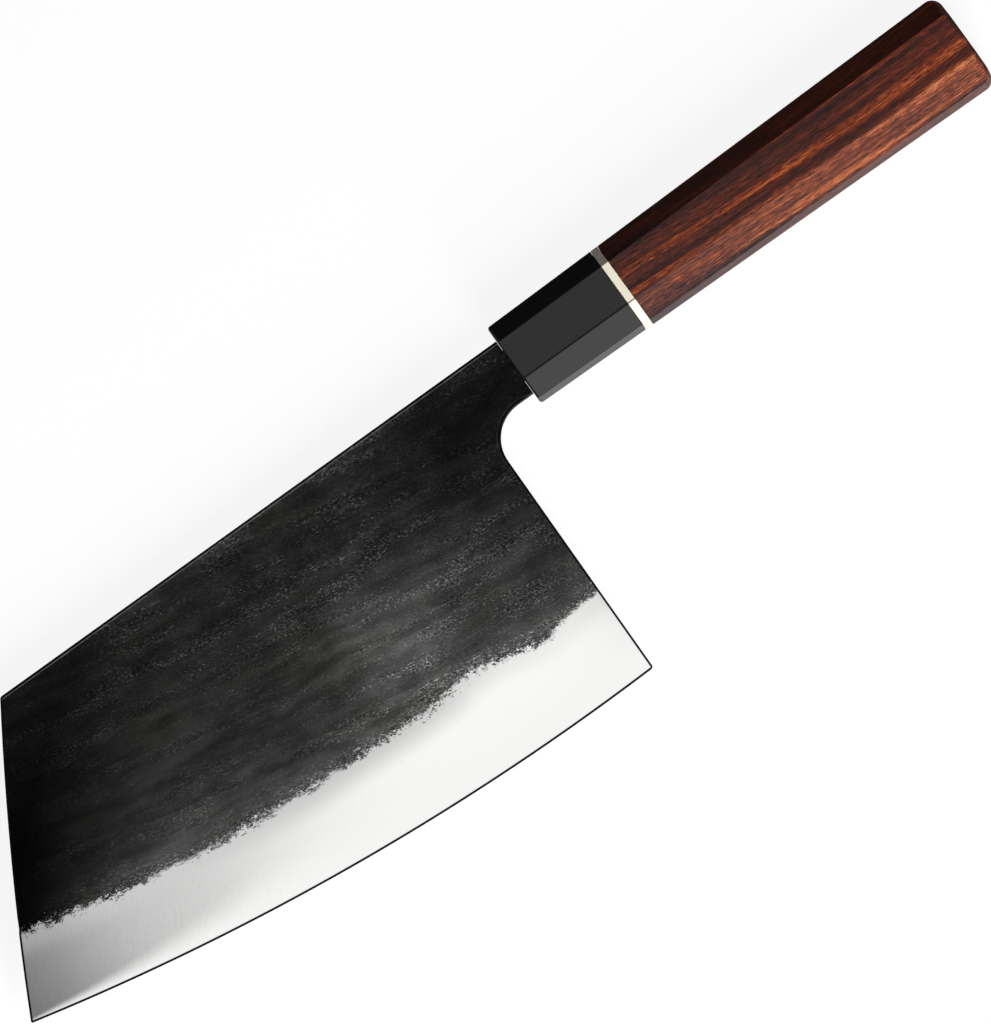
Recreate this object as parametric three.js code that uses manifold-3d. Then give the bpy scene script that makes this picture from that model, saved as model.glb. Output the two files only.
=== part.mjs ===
// A cleaver-shaped kitchen knife: a forged blade with a stick tang, glued into an octagonal handle
// of a ferrule, a spacer and a wooden grip that share one hidden dowel.
// Millimetres. The knife lies on its right side, so its left side faces up: +X runs along the handle
// to its butt, +Y points to the spine, and +Z points out of the left side of the blade.
// Inside the knife group the handle's axis is the X axis, and the ferrule's front face is at x = 0.

import * as THREE from "three";
import { mergeVertices } from "three/addons/utils/BufferGeometryUtils.js";
import Module from "manifold-3d";

// Blade outline. A reach runs forward from the ferrule's face, a height or a depth from the handle's axis.
const BLADE_REACH = 196;
const SPINE_REACH = 154.3;
const SPINE_HEIGHT = 7.6;
const SPINE_RISE = 0.65; // the spine stands this much higher at its front corner
const FRONT_RADIUS = 800; // the front edge bows forward
const EDGE_RADIUS = 686; // the cutting edge bows down
const EDGE_DEPTH = 83.5;
const EDGE_LOW_REACH = 32.8; // where the cutting edge is deepest
const HEEL_REACH = 16.1;
const HEEL_LEAN = 0.8; // the heel leans back to the handle by this much at its top
const NECK_DEPTH = 8.6;
const CHOIL_RADIUS = 10.3; // the hollow between the neck and the heel
const CORNER_EASE = 1.6; // length of the short curves at the blade's corners

// Blade section
const SPINE_THICKNESS = 3; // at the handle
const FRONT_THICKNESS = 2.6; // at the spine's front corner
const BEVEL_THICKNESS = 2.3; // where the ground bevel starts, at the heel
const BEVEL_HEIGHT = 24.5; // from the cutting edge up to that start
const LIP_THICKNESS = 0.4; // where the fine cutting bevel starts
const LIP_HEIGHT = 0.8;
const EDGE_LAND = 0.1; // thickness left at the very edge
const SPINE_EASE = 0.3; // chamfer on the forged arrises

// Tang, centred on the handle's axis
const TANG_LENGTH = 92;
const TANG_ROOT_HEIGHT = 9.5;
const TANG_END_HEIGHT = 6;

// Handle outside: an octagon that widens in proportion from the ferrule's face to the butt
const FRONT_HEIGHT = 22.2; // across the edge and spine facets
const FRONT_WIDTH = 20.6; // across the left and right facets
const FRONT_CHAMFER = 5.5; // leg of each corner facet
const BUTT_HEIGHT = 25.75;
const FERRULE_LENGTH = 32.4;
const SPACER_THICKNESS = 2.1;
const GRIP_LENGTH = 106.2;
const FERRULE_ROUND = 0.8;
const BUTT_ROUND = 2.5;

// Handle inside
const FERRULE_WALL = 4.5; // solid front of the ferrule, pierced only by the tang slot
const SEAL_THICKNESS = 0.8;
const BEDDING_THICKNESS = 0.8;
const DOWEL_WALL = 1; // dowel left outside the corners of the tang slot
const DOWEL_PAST_TANG = 10;

// Clearances
const GLUE_LINE = 0.1; // between glued end faces, and round the tang
const BORE_FIT = 0.15; // between the dowel and its bore, on the radius
const OVERCUT = 2; // how far a cutter runs past what it cuts

// Facets on curves
const FRONT_STEPS = 10;
const CHOIL_STEPS = 12;
const CORNER_STEPS = 4;
const ROUND_STEPS = 4;
const BORE_SIDES = 48;
const GRIND_SIDES = 240; // one bevel facet for about 18 mm of cutting edge

const spacerStart = FERRULE_LENGTH + GLUE_LINE;
const gripStart = spacerStart + SPACER_THICKNESS + GLUE_LINE;
const handleLength = gripStart + GRIP_LENGTH;
const dowelStart = FERRULE_WALL + GLUE_LINE;
const dowelEnd = TANG_LENGTH + DOWEL_PAST_TANG;
const slotGrow = BEDDING_THICKNESS + GLUE_LINE;
const dowelRadius =
  Math.hypot(TANG_ROOT_HEIGHT / 2 + slotGrow, SPINE_THICKNESS / 2 + slotGrow) + DOWEL_WALL;
const boreRadius = dowelRadius + BORE_FIT;
const edgeCentre = new THREE.Vector2(-EDGE_LOW_REACH, EDGE_RADIUS - EDGE_DEPTH);

const wasm = await Module();
wasm.setup();

// Solids

// Makes a closed geometry a solid that can be joined and cut.
function solidOf(geometry) {
  const bare = new THREE.BufferGeometry();
  bare.setAttribute("position", geometry.getAttribute("position"));
  bare.setIndex(geometry.index);
  const merged = mergeVertices(bare);
  return new wasm.Manifold(
    new wasm.Mesh({
      numProp: 3,
      vertProperties: merged.getAttribute("position").array,
      triVerts: new Uint32Array(merged.index.array),
    }),
  );
}

// Makes a solid a geometry again, with flat faces.
function geometryOf(body) {
  const { vertProperties, triVerts } = body.getMesh();
  const shared = new THREE.BufferGeometry();
  shared.setAttribute("position", new THREE.BufferAttribute(vertProperties, 3));
  shared.setIndex(new THREE.BufferAttribute(triVerts, 1));
  const flat = shared.toNonIndexed();
  flat.computeVertexNormals();
  return flat;
}

// Points on the shorter arc from one point to another, turning counterclockwise about its centre.
function arcPoints(from, to, radius, steps) {
  const half = to.clone().sub(from).multiplyScalar(0.5);
  const rise = Math.sqrt(radius ** 2 - half.lengthSq());
  const inward = new THREE.Vector2(-half.y, half.x).setLength(rise);
  const centre = from.clone().add(half).add(inward);
  const start = from.clone().sub(centre).angle();
  const end = to.clone().sub(centre).angle();
  return new THREE.ArcCurve(centre.x, centre.y, radius, start, end, false).getPoints(steps);
}

// Points of a short curve that eases a corner between the points before and after it.
function easedCorner(before, corner, after) {
  const start = before.clone().sub(corner).setLength(CORNER_EASE).add(corner);
  const end = after.clone().sub(corner).setLength(CORNER_EASE).add(corner);
  return new THREE.QuadraticBezierCurve(start, corner, end).getPoints(CORNER_STEPS);
}

// Blade

// Half the height of the tang at a distance behind the ferrule's face.
function tangHalfHeight(x) {
  return THREE.MathUtils.lerp(TANG_ROOT_HEIGHT, TANG_END_HEIGHT, x / TANG_LENGTH) / 2;
}

// The point of the cutting edge at a reach in front of the ferrule's face.
function edgePoint(reach) {
  const drop = Math.sqrt(EDGE_RADIUS ** 2 - (reach - EDGE_LOW_REACH) ** 2);
  return new THREE.Vector2(-reach, edgeCentre.y - drop);
}

// The cutting edge from the tip to the heel, with a point on each line between two bevel facets.
function edgeCurve(tip, heel) {
  const step = (2 * Math.PI) / GRIND_SIDES;
  const ends = [tip, heel].map((end) => Math.asin((end.x - edgeCentre.x) / EDGE_RADIUS));
  const clear = (2 * CORNER_EASE) / EDGE_RADIUS;
  const points = [tip];
  for (let line = Math.ceil((ends[0] + clear) / step); line * step < ends[1] - clear; line += 1) {
    points.push(edgePoint(EDGE_LOW_REACH - EDGE_RADIUS * Math.sin(line * step)));
  }
  return [...points, heel];
}

// The blade, neck and tang seen from the left, counterclockwise from the top of the neck.
function bladeOutline() {
  const neckTop = new THREE.Vector2(-GLUE_LINE, SPINE_HEIGHT);
  const spineCorner = new THREE.Vector2(-SPINE_REACH, SPINE_HEIGHT + SPINE_RISE);
  const tip = edgePoint(BLADE_REACH);
  const heel = edgePoint(HEEL_REACH);
  const choilBottom = new THREE.Vector2(HEEL_LEAN - HEEL_REACH, -NECK_DEPTH - CHOIL_RADIUS);
  const choilTop = new THREE.Vector2(choilBottom.x + CHOIL_RADIUS, -NECK_DEPTH);
  const front = arcPoints(spineCorner, tip, FRONT_RADIUS, FRONT_STEPS);
  const edge = edgeCurve(tip, heel);
  const choil = arcPoints(choilTop, choilBottom, CHOIL_RADIUS, CHOIL_STEPS).reverse();
  const rootHalf = tangHalfHeight(0);
  const endHalf = tangHalfHeight(TANG_LENGTH);
  return [
    neckTop,
    ...easedCorner(neckTop, spineCorner, front[1]),
    ...front.slice(1, -1),
    ...easedCorner(front.at(-2), tip, edge[1]),
    ...edge.slice(1, -1),
    ...easedCorner(edge.at(-2), heel, choilBottom),
    ...choil,
    new THREE.Vector2(-GLUE_LINE, -NECK_DEPTH),
    new THREE.Vector2(-GLUE_LINE, -rootHalf),
    new THREE.Vector2(TANG_LENGTH, -endHalf),
    new THREE.Vector2(TANG_LENGTH, endHalf),
    new THREE.Vector2(-GLUE_LINE, rootHalf),
  ];
}

// The forged blank: the outline at the spine's thickness, with eased arrises.
function bladeBlank() {
  const depth = SPINE_THICKNESS - 2 * SPINE_EASE;
  const blank = new THREE.ExtrudeGeometry(new THREE.Shape(bladeOutline()), {
    depth,
    bevelThickness: SPINE_EASE,
    bevelSize: SPINE_EASE,
    bevelOffset: -SPINE_EASE,
    bevelSegments: 1,
  });
  return solidOf(blank.translate(0, 0, -depth / 2));
}

// What forging took off one side (1 left, -1 right): all outside a plane that thins the blade
// from the spine to the bevel and from the handle to the front.
function flatCutter(side) {
  const bevelY = edgePoint(HEEL_REACH).y + BEVEL_HEIGHT;
  const plane = new THREE.Plane().setFromCoplanarPoints(
    new THREE.Vector3(0, SPINE_HEIGHT, SPINE_THICKNESS / 2),
    new THREE.Vector3(-SPINE_REACH, SPINE_HEIGHT + SPINE_RISE, FRONT_THICKNESS / 2),
    new THREE.Vector3(-HEEL_REACH, bevelY, BEVEL_THICKNESS / 2),
  );
  const outward = new THREE.Vector3(plane.normal.x, plane.normal.y, plane.normal.z * side);
  const middle = plane.coplanarPoint(new THREE.Vector3());
  const span = 4 * BLADE_REACH;
  const slab = new THREE.BoxGeometry(span, span, SPINE_THICKNESS);
  slab.translate(0, 0, SPINE_THICKNESS / 2);
  slab.applyQuaternion(new THREE.Quaternion().setFromUnitVectors(new THREE.Vector3(0, 0, 1), outward));
  slab.translate(middle.x, middle.y, middle.z * side);
  return solidOf(slab);
}

// What grinding took off one side: a ring about the cutting edge's centre that leaves the bevel
// and, below it, the fine cutting bevel.
function grindCutter(side) {
  const bevelSlope = (BEVEL_THICKNESS - LIP_THICKNESS) / 2 / (BEVEL_HEIGHT - LIP_HEIGHT);
  const lipSlope = (LIP_THICKNESS - EDGE_LAND) / 2 / LIP_HEIGHT;
  const reach = 2 * BEVEL_HEIGHT;
  const clear = 2 * SPINE_THICKNESS;
  const profile = [
    new THREE.Vector2(EDGE_RADIUS - LIP_HEIGHT, LIP_THICKNESS / 2),
    new THREE.Vector2(EDGE_RADIUS + OVERCUT, EDGE_LAND / 2 - lipSlope * OVERCUT),
    new THREE.Vector2(EDGE_RADIUS + OVERCUT, clear),
    new THREE.Vector2(EDGE_RADIUS - reach, clear),
    new THREE.Vector2(EDGE_RADIUS - reach, LIP_THICKNESS / 2 + bevelSlope * (reach - LIP_HEIGHT)),
  ];
  const ring = new THREE.LatheGeometry([...profile, profile[0]], GRIND_SIDES);
  ring.rotateX((side * Math.PI) / 2);
  ring.translate(edgeCentre.x, edgeCentre.y, 0);
  return solidOf(ring);
}

function bladeSolid() {
  let blade = bladeBlank();
  for (const side of [1, -1]) {
    blade = blade.subtract(flatCutter(side)).subtract(grindCutter(side));
  }
  return blade;
}

// Handle

// The octagon's corners at a station, counterclockwise as the butt sees them, drawn in by an inset.
function octagonCorners(x, inset) {
  const scale = THREE.MathUtils.lerp(1, BUTT_HEIGHT / FRONT_HEIGHT, x / handleLength);
  const y = (FRONT_HEIGHT / 2) * scale - inset;
  const z = (FRONT_WIDTH / 2) * scale - inset;
  const leg = FRONT_CHAMFER * scale - (2 - Math.SQRT2) * inset;
  return [
    [y, z - leg],
    [y - leg, z],
    [leg - y, z],
    [-y, z - leg],
    [-y, leg - z],
    [leg - y, -z],
    [y - leg, -z],
    [y, leg - z],
  ].map(([cornerY, cornerZ]) => [x, cornerY, cornerZ]);
}

// Stations of a rounded end, from its face inward: direction 1 at a front end, -1 at a back end.
function endStations(x, round, direction) {
  if (round === 0) return [{ x, inset: 0 }];
  return Array.from({ length: ROUND_STEPS + 1 }, (_, step) => {
    const turn = (step / ROUND_STEPS) * (Math.PI / 2);
    return {
      x: x + direction * round * (1 - Math.cos(turn)),
      inset: round * (1 - Math.sin(turn)),
    };
  });
}

// A length of the handle's octagon, with its front and back ends rounded.
function octagonBar(start, end, frontRound, backRound) {
  const stations = [
    ...endStations(start, frontRound, 1),
    ...endStations(end, backRound, -1).reverse(),
  ];
  const rings = stations.map(({ x, inset }) => octagonCorners(x, inset));
  const sides = rings[0].length;
  const triangles = [];
  for (let side = 1; side < sides - 1; side += 1) {
    const last = (rings.length - 1) * sides;
    triangles.push([0, side + 1, side], [last, last + side, last + side + 1]);
  }
  for (let ring = 0; ring < rings.length - 1; ring += 1) {
    for (let side = 0; side < sides; side += 1) {
      const here = ring * sides + side;
      const next = ring * sides + ((side + 1) % sides);
      triangles.push([here, next, next + sides], [here, next + sides, here + sides]);
    }
  }
  const bar = new THREE.BufferGeometry();
  bar.setAttribute("position", new THREE.Float32BufferAttribute(rings.flat(2), 3));
  bar.setIndex(triangles.flat());
  return solidOf(bar);
}

// A round bar on the handle's axis.
function roundBar(radius, start, end) {
  const bar = new THREE.CylinderGeometry(radius, radius, end - start, BORE_SIDES);
  bar.rotateZ(Math.PI / 2);
  bar.translate((start + end) / 2, 0, 0);
  return solidOf(bar);
}

// The tang's tapered bar between two stations, grown outward on all sides by an allowance.
function tangBar(grow, start, end) {
  const startHalf = tangHalfHeight(start) + grow;
  const endHalf = tangHalfHeight(end) + grow;
  const outline = new THREE.Shape([
    new THREE.Vector2(start, -startHalf),
    new THREE.Vector2(end, -endHalf),
    new THREE.Vector2(end, endHalf),
    new THREE.Vector2(start, startHalf),
  ]);
  const depth = SPINE_THICKNESS + 2 * grow;
  const bar = new THREE.ExtrudeGeometry(outline, { depth, bevelEnabled: false });
  return solidOf(bar.translate(0, 0, -depth / 2));
}

function ferruleSolid() {
  const slot = tangBar(SEAL_THICKNESS + GLUE_LINE, -OVERCUT, FERRULE_WALL + OVERCUT);
  const bore = roundBar(boreRadius, FERRULE_WALL, FERRULE_LENGTH + OVERCUT);
  return octagonBar(0, FERRULE_LENGTH, FERRULE_ROUND, 0).subtract(bore).subtract(slot);
}

function spacerSolid() {
  const end = spacerStart + SPACER_THICKNESS;
  const bore = roundBar(boreRadius, spacerStart - OVERCUT, end + OVERCUT);
  return octagonBar(spacerStart, end, 0, 0).subtract(bore);
}

function gripSolid() {
  const bore = roundBar(boreRadius, gripStart - OVERCUT, dowelEnd + GLUE_LINE);
  return octagonBar(gripStart, handleLength, 0, BUTT_ROUND).subtract(bore);
}

function mouthSealSolid() {
  const hole = tangBar(GLUE_LINE, -OVERCUT, FERRULE_WALL + OVERCUT);
  return tangBar(SEAL_THICKNESS, 0, FERRULE_WALL).subtract(hole);
}

function tangBeddingSolid() {
  const hole = tangBar(GLUE_LINE, dowelStart - OVERCUT, TANG_LENGTH + GLUE_LINE);
  return tangBar(BEDDING_THICKNESS, dowelStart, TANG_LENGTH + BEDDING_THICKNESS).subtract(hole);
}

// One half of the dowel, split along the blade's plane (1 left, -1 right).
function dowelHalfSolid(side) {
  const length = dowelEnd - dowelStart;
  const half = new THREE.BoxGeometry(length + 2 * OVERCUT, 3 * dowelRadius, dowelRadius + OVERCUT);
  const split = (dowelRadius + OVERCUT + GLUE_LINE) / 2;
  half.translate((dowelStart + dowelEnd) / 2, 0, side * split);
  const slot = tangBar(slotGrow, dowelStart - OVERCUT, TANG_LENGTH + slotGrow);
  return roundBar(dowelRadius, dowelStart, dowelEnd).intersect(solidOf(half)).subtract(slot);
}

// Assembly

const knife = new THREE.Group();

function addPiece(name, body, color, roughness, metalness) {
  const material = new THREE.MeshStandardMaterial({ color, roughness, metalness });
  const piece = new THREE.Mesh(geometryOf(body), material);
  piece.name = name;
  knife.add(piece);
}

addPiece("blade", bladeSolid(), 0x3a3b3b, 0.45, 0.9);
addPiece("ferrule", ferruleSolid(), 0x17171a, 0.4, 0);
addPiece("spacer", spacerSolid(), 0xe8dfcd, 0.5, 0);
addPiece("grip", gripSolid(), 0x55291e, 0.5, 0);
addPiece("mouth_seal", mouthSealSolid(), 0x101010, 0.6, 0);
addPiece("tang_bedding", tangBeddingSolid(), 0x6b6250, 0.5, 0);
addPiece("dowel_left", dowelHalfSolid(1), 0xb98d5a, 0.7, 0);
addPiece("dowel_right", dowelHalfSolid(-1), 0xb98d5a, 0.7, 0);

// The origin is the middle of the knife's footprint, on the surface that it lies on.
const footprint = new THREE.Box3().setFromObject(knife);
const middle = footprint.getCenter(new THREE.Vector3());
knife.position.set(-middle.x, -middle.y, -footprint.min.z);

const part = new THREE.Group();
part.add(knife);

export default part;
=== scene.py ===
"""Looks of a cleaver-shaped kitchen knife that lies on its right side.

The knife's own axes: x runs from the ferrule's front face to the butt, y from the cutting edge to the
spine and z out of the blade's left side, with the handle's middle line at y = z = 0. Sizes are in
millimetres along those axes, and each finished mesh is moved to its place in the frame.
"""

import logging
import math
from contextlib import contextmanager
from dataclasses import dataclass, field
from enum import Enum, IntEnum
from functools import reduce
from typing import Any, Callable, Iterator, Sequence

import bmesh
import bpy
from mathutils import Matrix, Vector


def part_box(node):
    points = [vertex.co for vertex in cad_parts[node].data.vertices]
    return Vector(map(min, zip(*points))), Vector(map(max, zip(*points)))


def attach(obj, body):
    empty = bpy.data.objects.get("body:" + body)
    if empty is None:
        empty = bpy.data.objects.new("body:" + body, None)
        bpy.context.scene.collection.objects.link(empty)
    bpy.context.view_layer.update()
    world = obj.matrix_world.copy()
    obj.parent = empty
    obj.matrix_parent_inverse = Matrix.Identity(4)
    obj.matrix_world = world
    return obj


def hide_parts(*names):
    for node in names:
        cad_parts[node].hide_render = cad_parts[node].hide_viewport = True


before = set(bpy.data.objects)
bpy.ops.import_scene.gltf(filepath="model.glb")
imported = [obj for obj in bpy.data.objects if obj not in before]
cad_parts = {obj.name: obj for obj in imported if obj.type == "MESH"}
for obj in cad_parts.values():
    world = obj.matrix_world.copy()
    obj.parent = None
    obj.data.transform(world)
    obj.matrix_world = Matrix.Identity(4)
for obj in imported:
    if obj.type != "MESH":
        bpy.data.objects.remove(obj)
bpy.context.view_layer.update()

LOG = logging.getLogger("kitchen_knife")
MM = 0.001
CUT_TOLERANCE = 1e-6
MERGE_DISTANCE = 2e-6
ORDER_DIGITS = 7
AREA_WEIGHT = 100
NEARLY_SQUARE = 0.99
SQUARE_ON = 0.999
FULL_TURN = 360
HALF = 0.5
NOISE_SPAN = (0.3, 0.7)
FLECK_BAR = (0.74, 0.26)
FLECK_LAYERS = 3.0
FLECK_HARSHNESS = 0.6
MIX_COLOUR_A, MIX_COLOUR_B, MIX_COLOUR_OUT = 6, 7, 2
MIX_VALUE_A, MIX_VALUE_B = 2, 3
STREAK_TURN = -8.0
GRIND_TURN = 54.1

Feed = Any
Colour = tuple[float, float, float]
Span = tuple[float, float]
Knots = tuple[Span, ...]


class Element(Enum):
    """What a selection in edit mode picks."""

    VERTEX = "VERT"
    EDGE = "EDGE"
    FACE = "FACE"


class Facet(IntEnum):
    """Facets of the handle that a finish refers to, by their place in the order round the bar."""

    LEFT_FLAT = 2
    EDGE_CHAMFER = 3
    EDGE_SIDE = 4


def origin_of_knife() -> Vector:
    """Where the knife's own axes start in the frame, in metres: the middle of the ferrule's front face."""
    low, high = (Vector(corner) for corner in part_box("ferrule"))
    return Vector((low.x, (low.y + high.y) / 2, (low.z + high.z) / 2))


ORIGIN = origin_of_knife()


def span_of(node: str) -> tuple[Vector, Vector]:
    """A CAD node's lowest and highest corners in the knife's axes.

    Args:
        node: the CAD node's name.

    Returns:
        The two corners in millimetres.
    """
    low, high = (Vector(corner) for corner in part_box(node))
    return (low - ORIGIN) / MM, (high - ORIGIN) / MM


@dataclass(frozen=True)
class Plane:
    """A cutting plane, in millimetres along the knife's axes."""

    point: Vector
    outward: Vector

    @property
    def level(self) -> float:
        """How far the plane lies from the axes' start, along its outward direction."""
        return self.point.dot(self.outward)


def plane(point: Sequence[float], outward: Sequence[float]) -> Plane:
    """A cutting plane through a point, with its outward direction brought to unit length."""
    return Plane(Vector(point), Vector(outward).normalized())


def rounding(first: Plane, second: Plane, radius: float, steps: int) -> list[Plane]:
    """Planes that round off the arris between two planes.

    Args:
        first: the plane on one side of the arris.
        second: the plane on its other side.
        radius: the rounding's radius in millimetres.
        steps: how many planes the rounding takes.

    Returns:
        The planes, each tangent to the rounding.
    """
    cosine = first.outward.dot(second.outward)
    inner = (first.level - radius, second.level - radius)
    along_first = (inner[0] - cosine * inner[1]) / (1 - cosine * cosine)
    along_second = (inner[1] - cosine * inner[0]) / (1 - cosine * cosine)
    centre = first.outward * along_first + second.outward * along_second
    planes = []
    for step in range(1, steps + 1):
        outward = first.outward.slerp(second.outward, step / (steps + 1))
        planes.append(Plane(centre + outward * radius, outward))
    return planes


class Workpiece:
    """A mesh that is shaped by edit-mode operators, in millimetres along the knife's axes."""

    def __init__(self, body: bpy.types.Object, name: str) -> None:
        """Takes an object as the piece.

        Args:
            body: the mesh object.
            name: the piece's name.
        """
        self.body = body
        body.name = name
        body.data.name = name

    @classmethod
    def block(cls, name: str, low: Sequence[float], high: Sequence[float]) -> "Workpiece":
        """Starts a piece from a block between two corners.

        Args:
            name: the piece's name.
            low: the block's lowest corner.
            high: its highest corner.

        Returns:
            The new piece.
        """
        lowest, highest = Vector(low) * MM, Vector(high) * MM
        bpy.ops.object.select_all(action="DESELECT")
        bpy.ops.mesh.primitive_cube_add(size=1, location=(lowest + highest) / 2)
        body = bpy.context.active_object
        body.scale = highest - lowest
        bpy.ops.object.transform_apply(location=True, rotation=True, scale=True)
        return cls(body, name)

    @classmethod
    def rod(cls, name: str, start: float, end: float, radius: float, sides: int) -> "Workpiece":
        """Starts a piece from a round rod along the handle's middle line.

        Args:
            name: the piece's name.
            start: where the rod begins along x.
            end: where it ends.
            radius: its radius.
            sides: how many sides it has.

        Returns:
            The new piece.
        """
        bpy.ops.object.select_all(action="DESELECT")
        bpy.ops.mesh.primitive_cylinder_add(
            vertices=sides,
            radius=radius * MM,
            depth=(end - start) * MM,
            location=((start + end) / 2 * MM, 0, 0),
            rotation=(0, math.pi / 2, 0),
        )
        bpy.ops.object.transform_apply(location=True, rotation=True, scale=True)
        return cls(bpy.context.active_object, name)

    def copy(self, name: str) -> "Workpiece":
        """A second piece of the same shape, with a mesh of its own.

        Args:
            name: the new piece's name.

        Returns:
            The new piece.
        """
        self.take_up()
        bpy.ops.object.duplicate(linked=False)
        return Workpiece(bpy.context.active_object, name)

    def take_up(self) -> None:
        """Makes this piece the only one that is selected, and the active one."""
        bpy.ops.object.select_all(action="DESELECT")
        self.body.select_set(True)
        bpy.context.view_layer.objects.active = self.body

    @contextmanager
    def editing(self) -> Iterator[None]:
        """Keeps the piece in edit mode while its block runs.

        Yields:
            Nothing.
        """
        self.take_up()
        bpy.ops.object.mode_set(mode="EDIT")
        yield
        bpy.ops.object.mode_set(mode="OBJECT")

    def pick(self, element: Element, test: Callable[[Any], bool]) -> None:
        """Selects what passes a test, and nothing else, in edit mode.

        Args:
            element: what is tested.
            test: tells whether one vertex, edge or face is selected.
        """
        bpy.ops.mesh.select_mode(type=element.value)
        bpy.ops.mesh.select_all(action="DESELECT")
        shape = bmesh.from_edit_mesh(self.body.data)
        shape.normal_update()
        items = {Element.VERTEX: shape.verts, Element.EDGE: shape.edges, Element.FACE: shape.faces}
        for item in items[element]:
            if test(item):
                item.select_set(True)
        bmesh.update_edit_mesh(self.body.data)

    def cut(self, planes: Sequence[Plane]) -> None:
        """Takes off all that lies outside the planes and closes the cuts, in edit mode.

        Args:
            planes: the cutting planes.
        """
        bpy.ops.mesh.select_mode(type="VERT")
        for each in planes:
            bpy.ops.mesh.select_all(action="SELECT")
            bpy.ops.mesh.bisect(
                plane_co=each.point * MM,
                plane_no=each.outward,
                use_fill=True,
                clear_outer=True,
                threshold=CUT_TOLERANCE,
            )

    def hollow(self, cutter: "Workpiece") -> None:
        """Cuts another piece's shape out of this one and uses that piece up.

        Args:
            cutter: the other piece.
        """
        self.take_up()
        bpy.ops.object.modifier_add(type="BOOLEAN")
        boolean = self.body.modifiers[-1]
        boolean.operation = "DIFFERENCE"
        boolean.solver = "EXACT"
        boolean.object = cutter.body
        bpy.ops.object.modifier_apply(modifier=boolean.name)
        spent = cutter.body.data
        bpy.data.objects.remove(cutter.body)
        bpy.data.meshes.remove(spent)

    def close_up(self, smooth_below: float) -> bpy.types.Object:
        """Cleans the mesh, moves it to its place in the frame and shades it.

        Args:
            smooth_below: the angle in degrees below which neighbouring faces shade as one.

        Returns:
            The finished object.
        """
        with self.editing():
            bpy.ops.mesh.select_all(action="SELECT")
            bpy.ops.mesh.remove_doubles(threshold=MERGE_DISTANCE)
            bpy.ops.mesh.normals_make_consistent(inside=False)
            bpy.ops.transform.translate(value=ORIGIN)
        self.put_in_order()
        self.take_up()
        bpy.ops.object.shade_smooth_by_angle(angle=math.radians(smooth_below))
        bpy.ops.object.modifier_add(type="WEIGHTED_NORMAL")
        weighting = self.body.modifiers[-1]
        weighting.keep_sharp = True
        weighting.weight = AREA_WEIGHT
        bpy.ops.object.modifier_apply(modifier=weighting.name)
        return self.body

    def put_in_order(self) -> None:
        """Puts corners and faces in an order of their own, so that each run gives the same mesh."""
        mesh = self.body.data
        keys = [tuple(round(way, ORDER_DIGITS) for way in vertex.co) for vertex in mesh.vertices]
        order = sorted(range(len(keys)), key=keys.__getitem__)
        places = {old: new for new, old in enumerate(order)}
        corners = [keys[index] for index in order]
        rings = []
        for polygon in mesh.polygons:
            ring = [places[index] for index in polygon.vertices]
            start = ring.index(min(ring))
            rings.append(ring[start:] + ring[:start])
        mesh.clear_geometry()
        mesh.from_pydata(corners, [], sorted(rings))


def middle_of(item: Any) -> Vector:
    """The middle of an edge or face, in millimetres along the knife's axes."""
    places = [vertex.co for vertex in item.verts]
    return sum(places, Vector()) / len(places) / MM


@dataclass(frozen=True)
class Grain:
    """A drawn-out noise: its size along, across and through in millimetres, its layers and its turn."""

    size: tuple[float, float, float]
    layers: float = 3.0
    harshness: float = 0.55
    turn: float = 0.0


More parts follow.
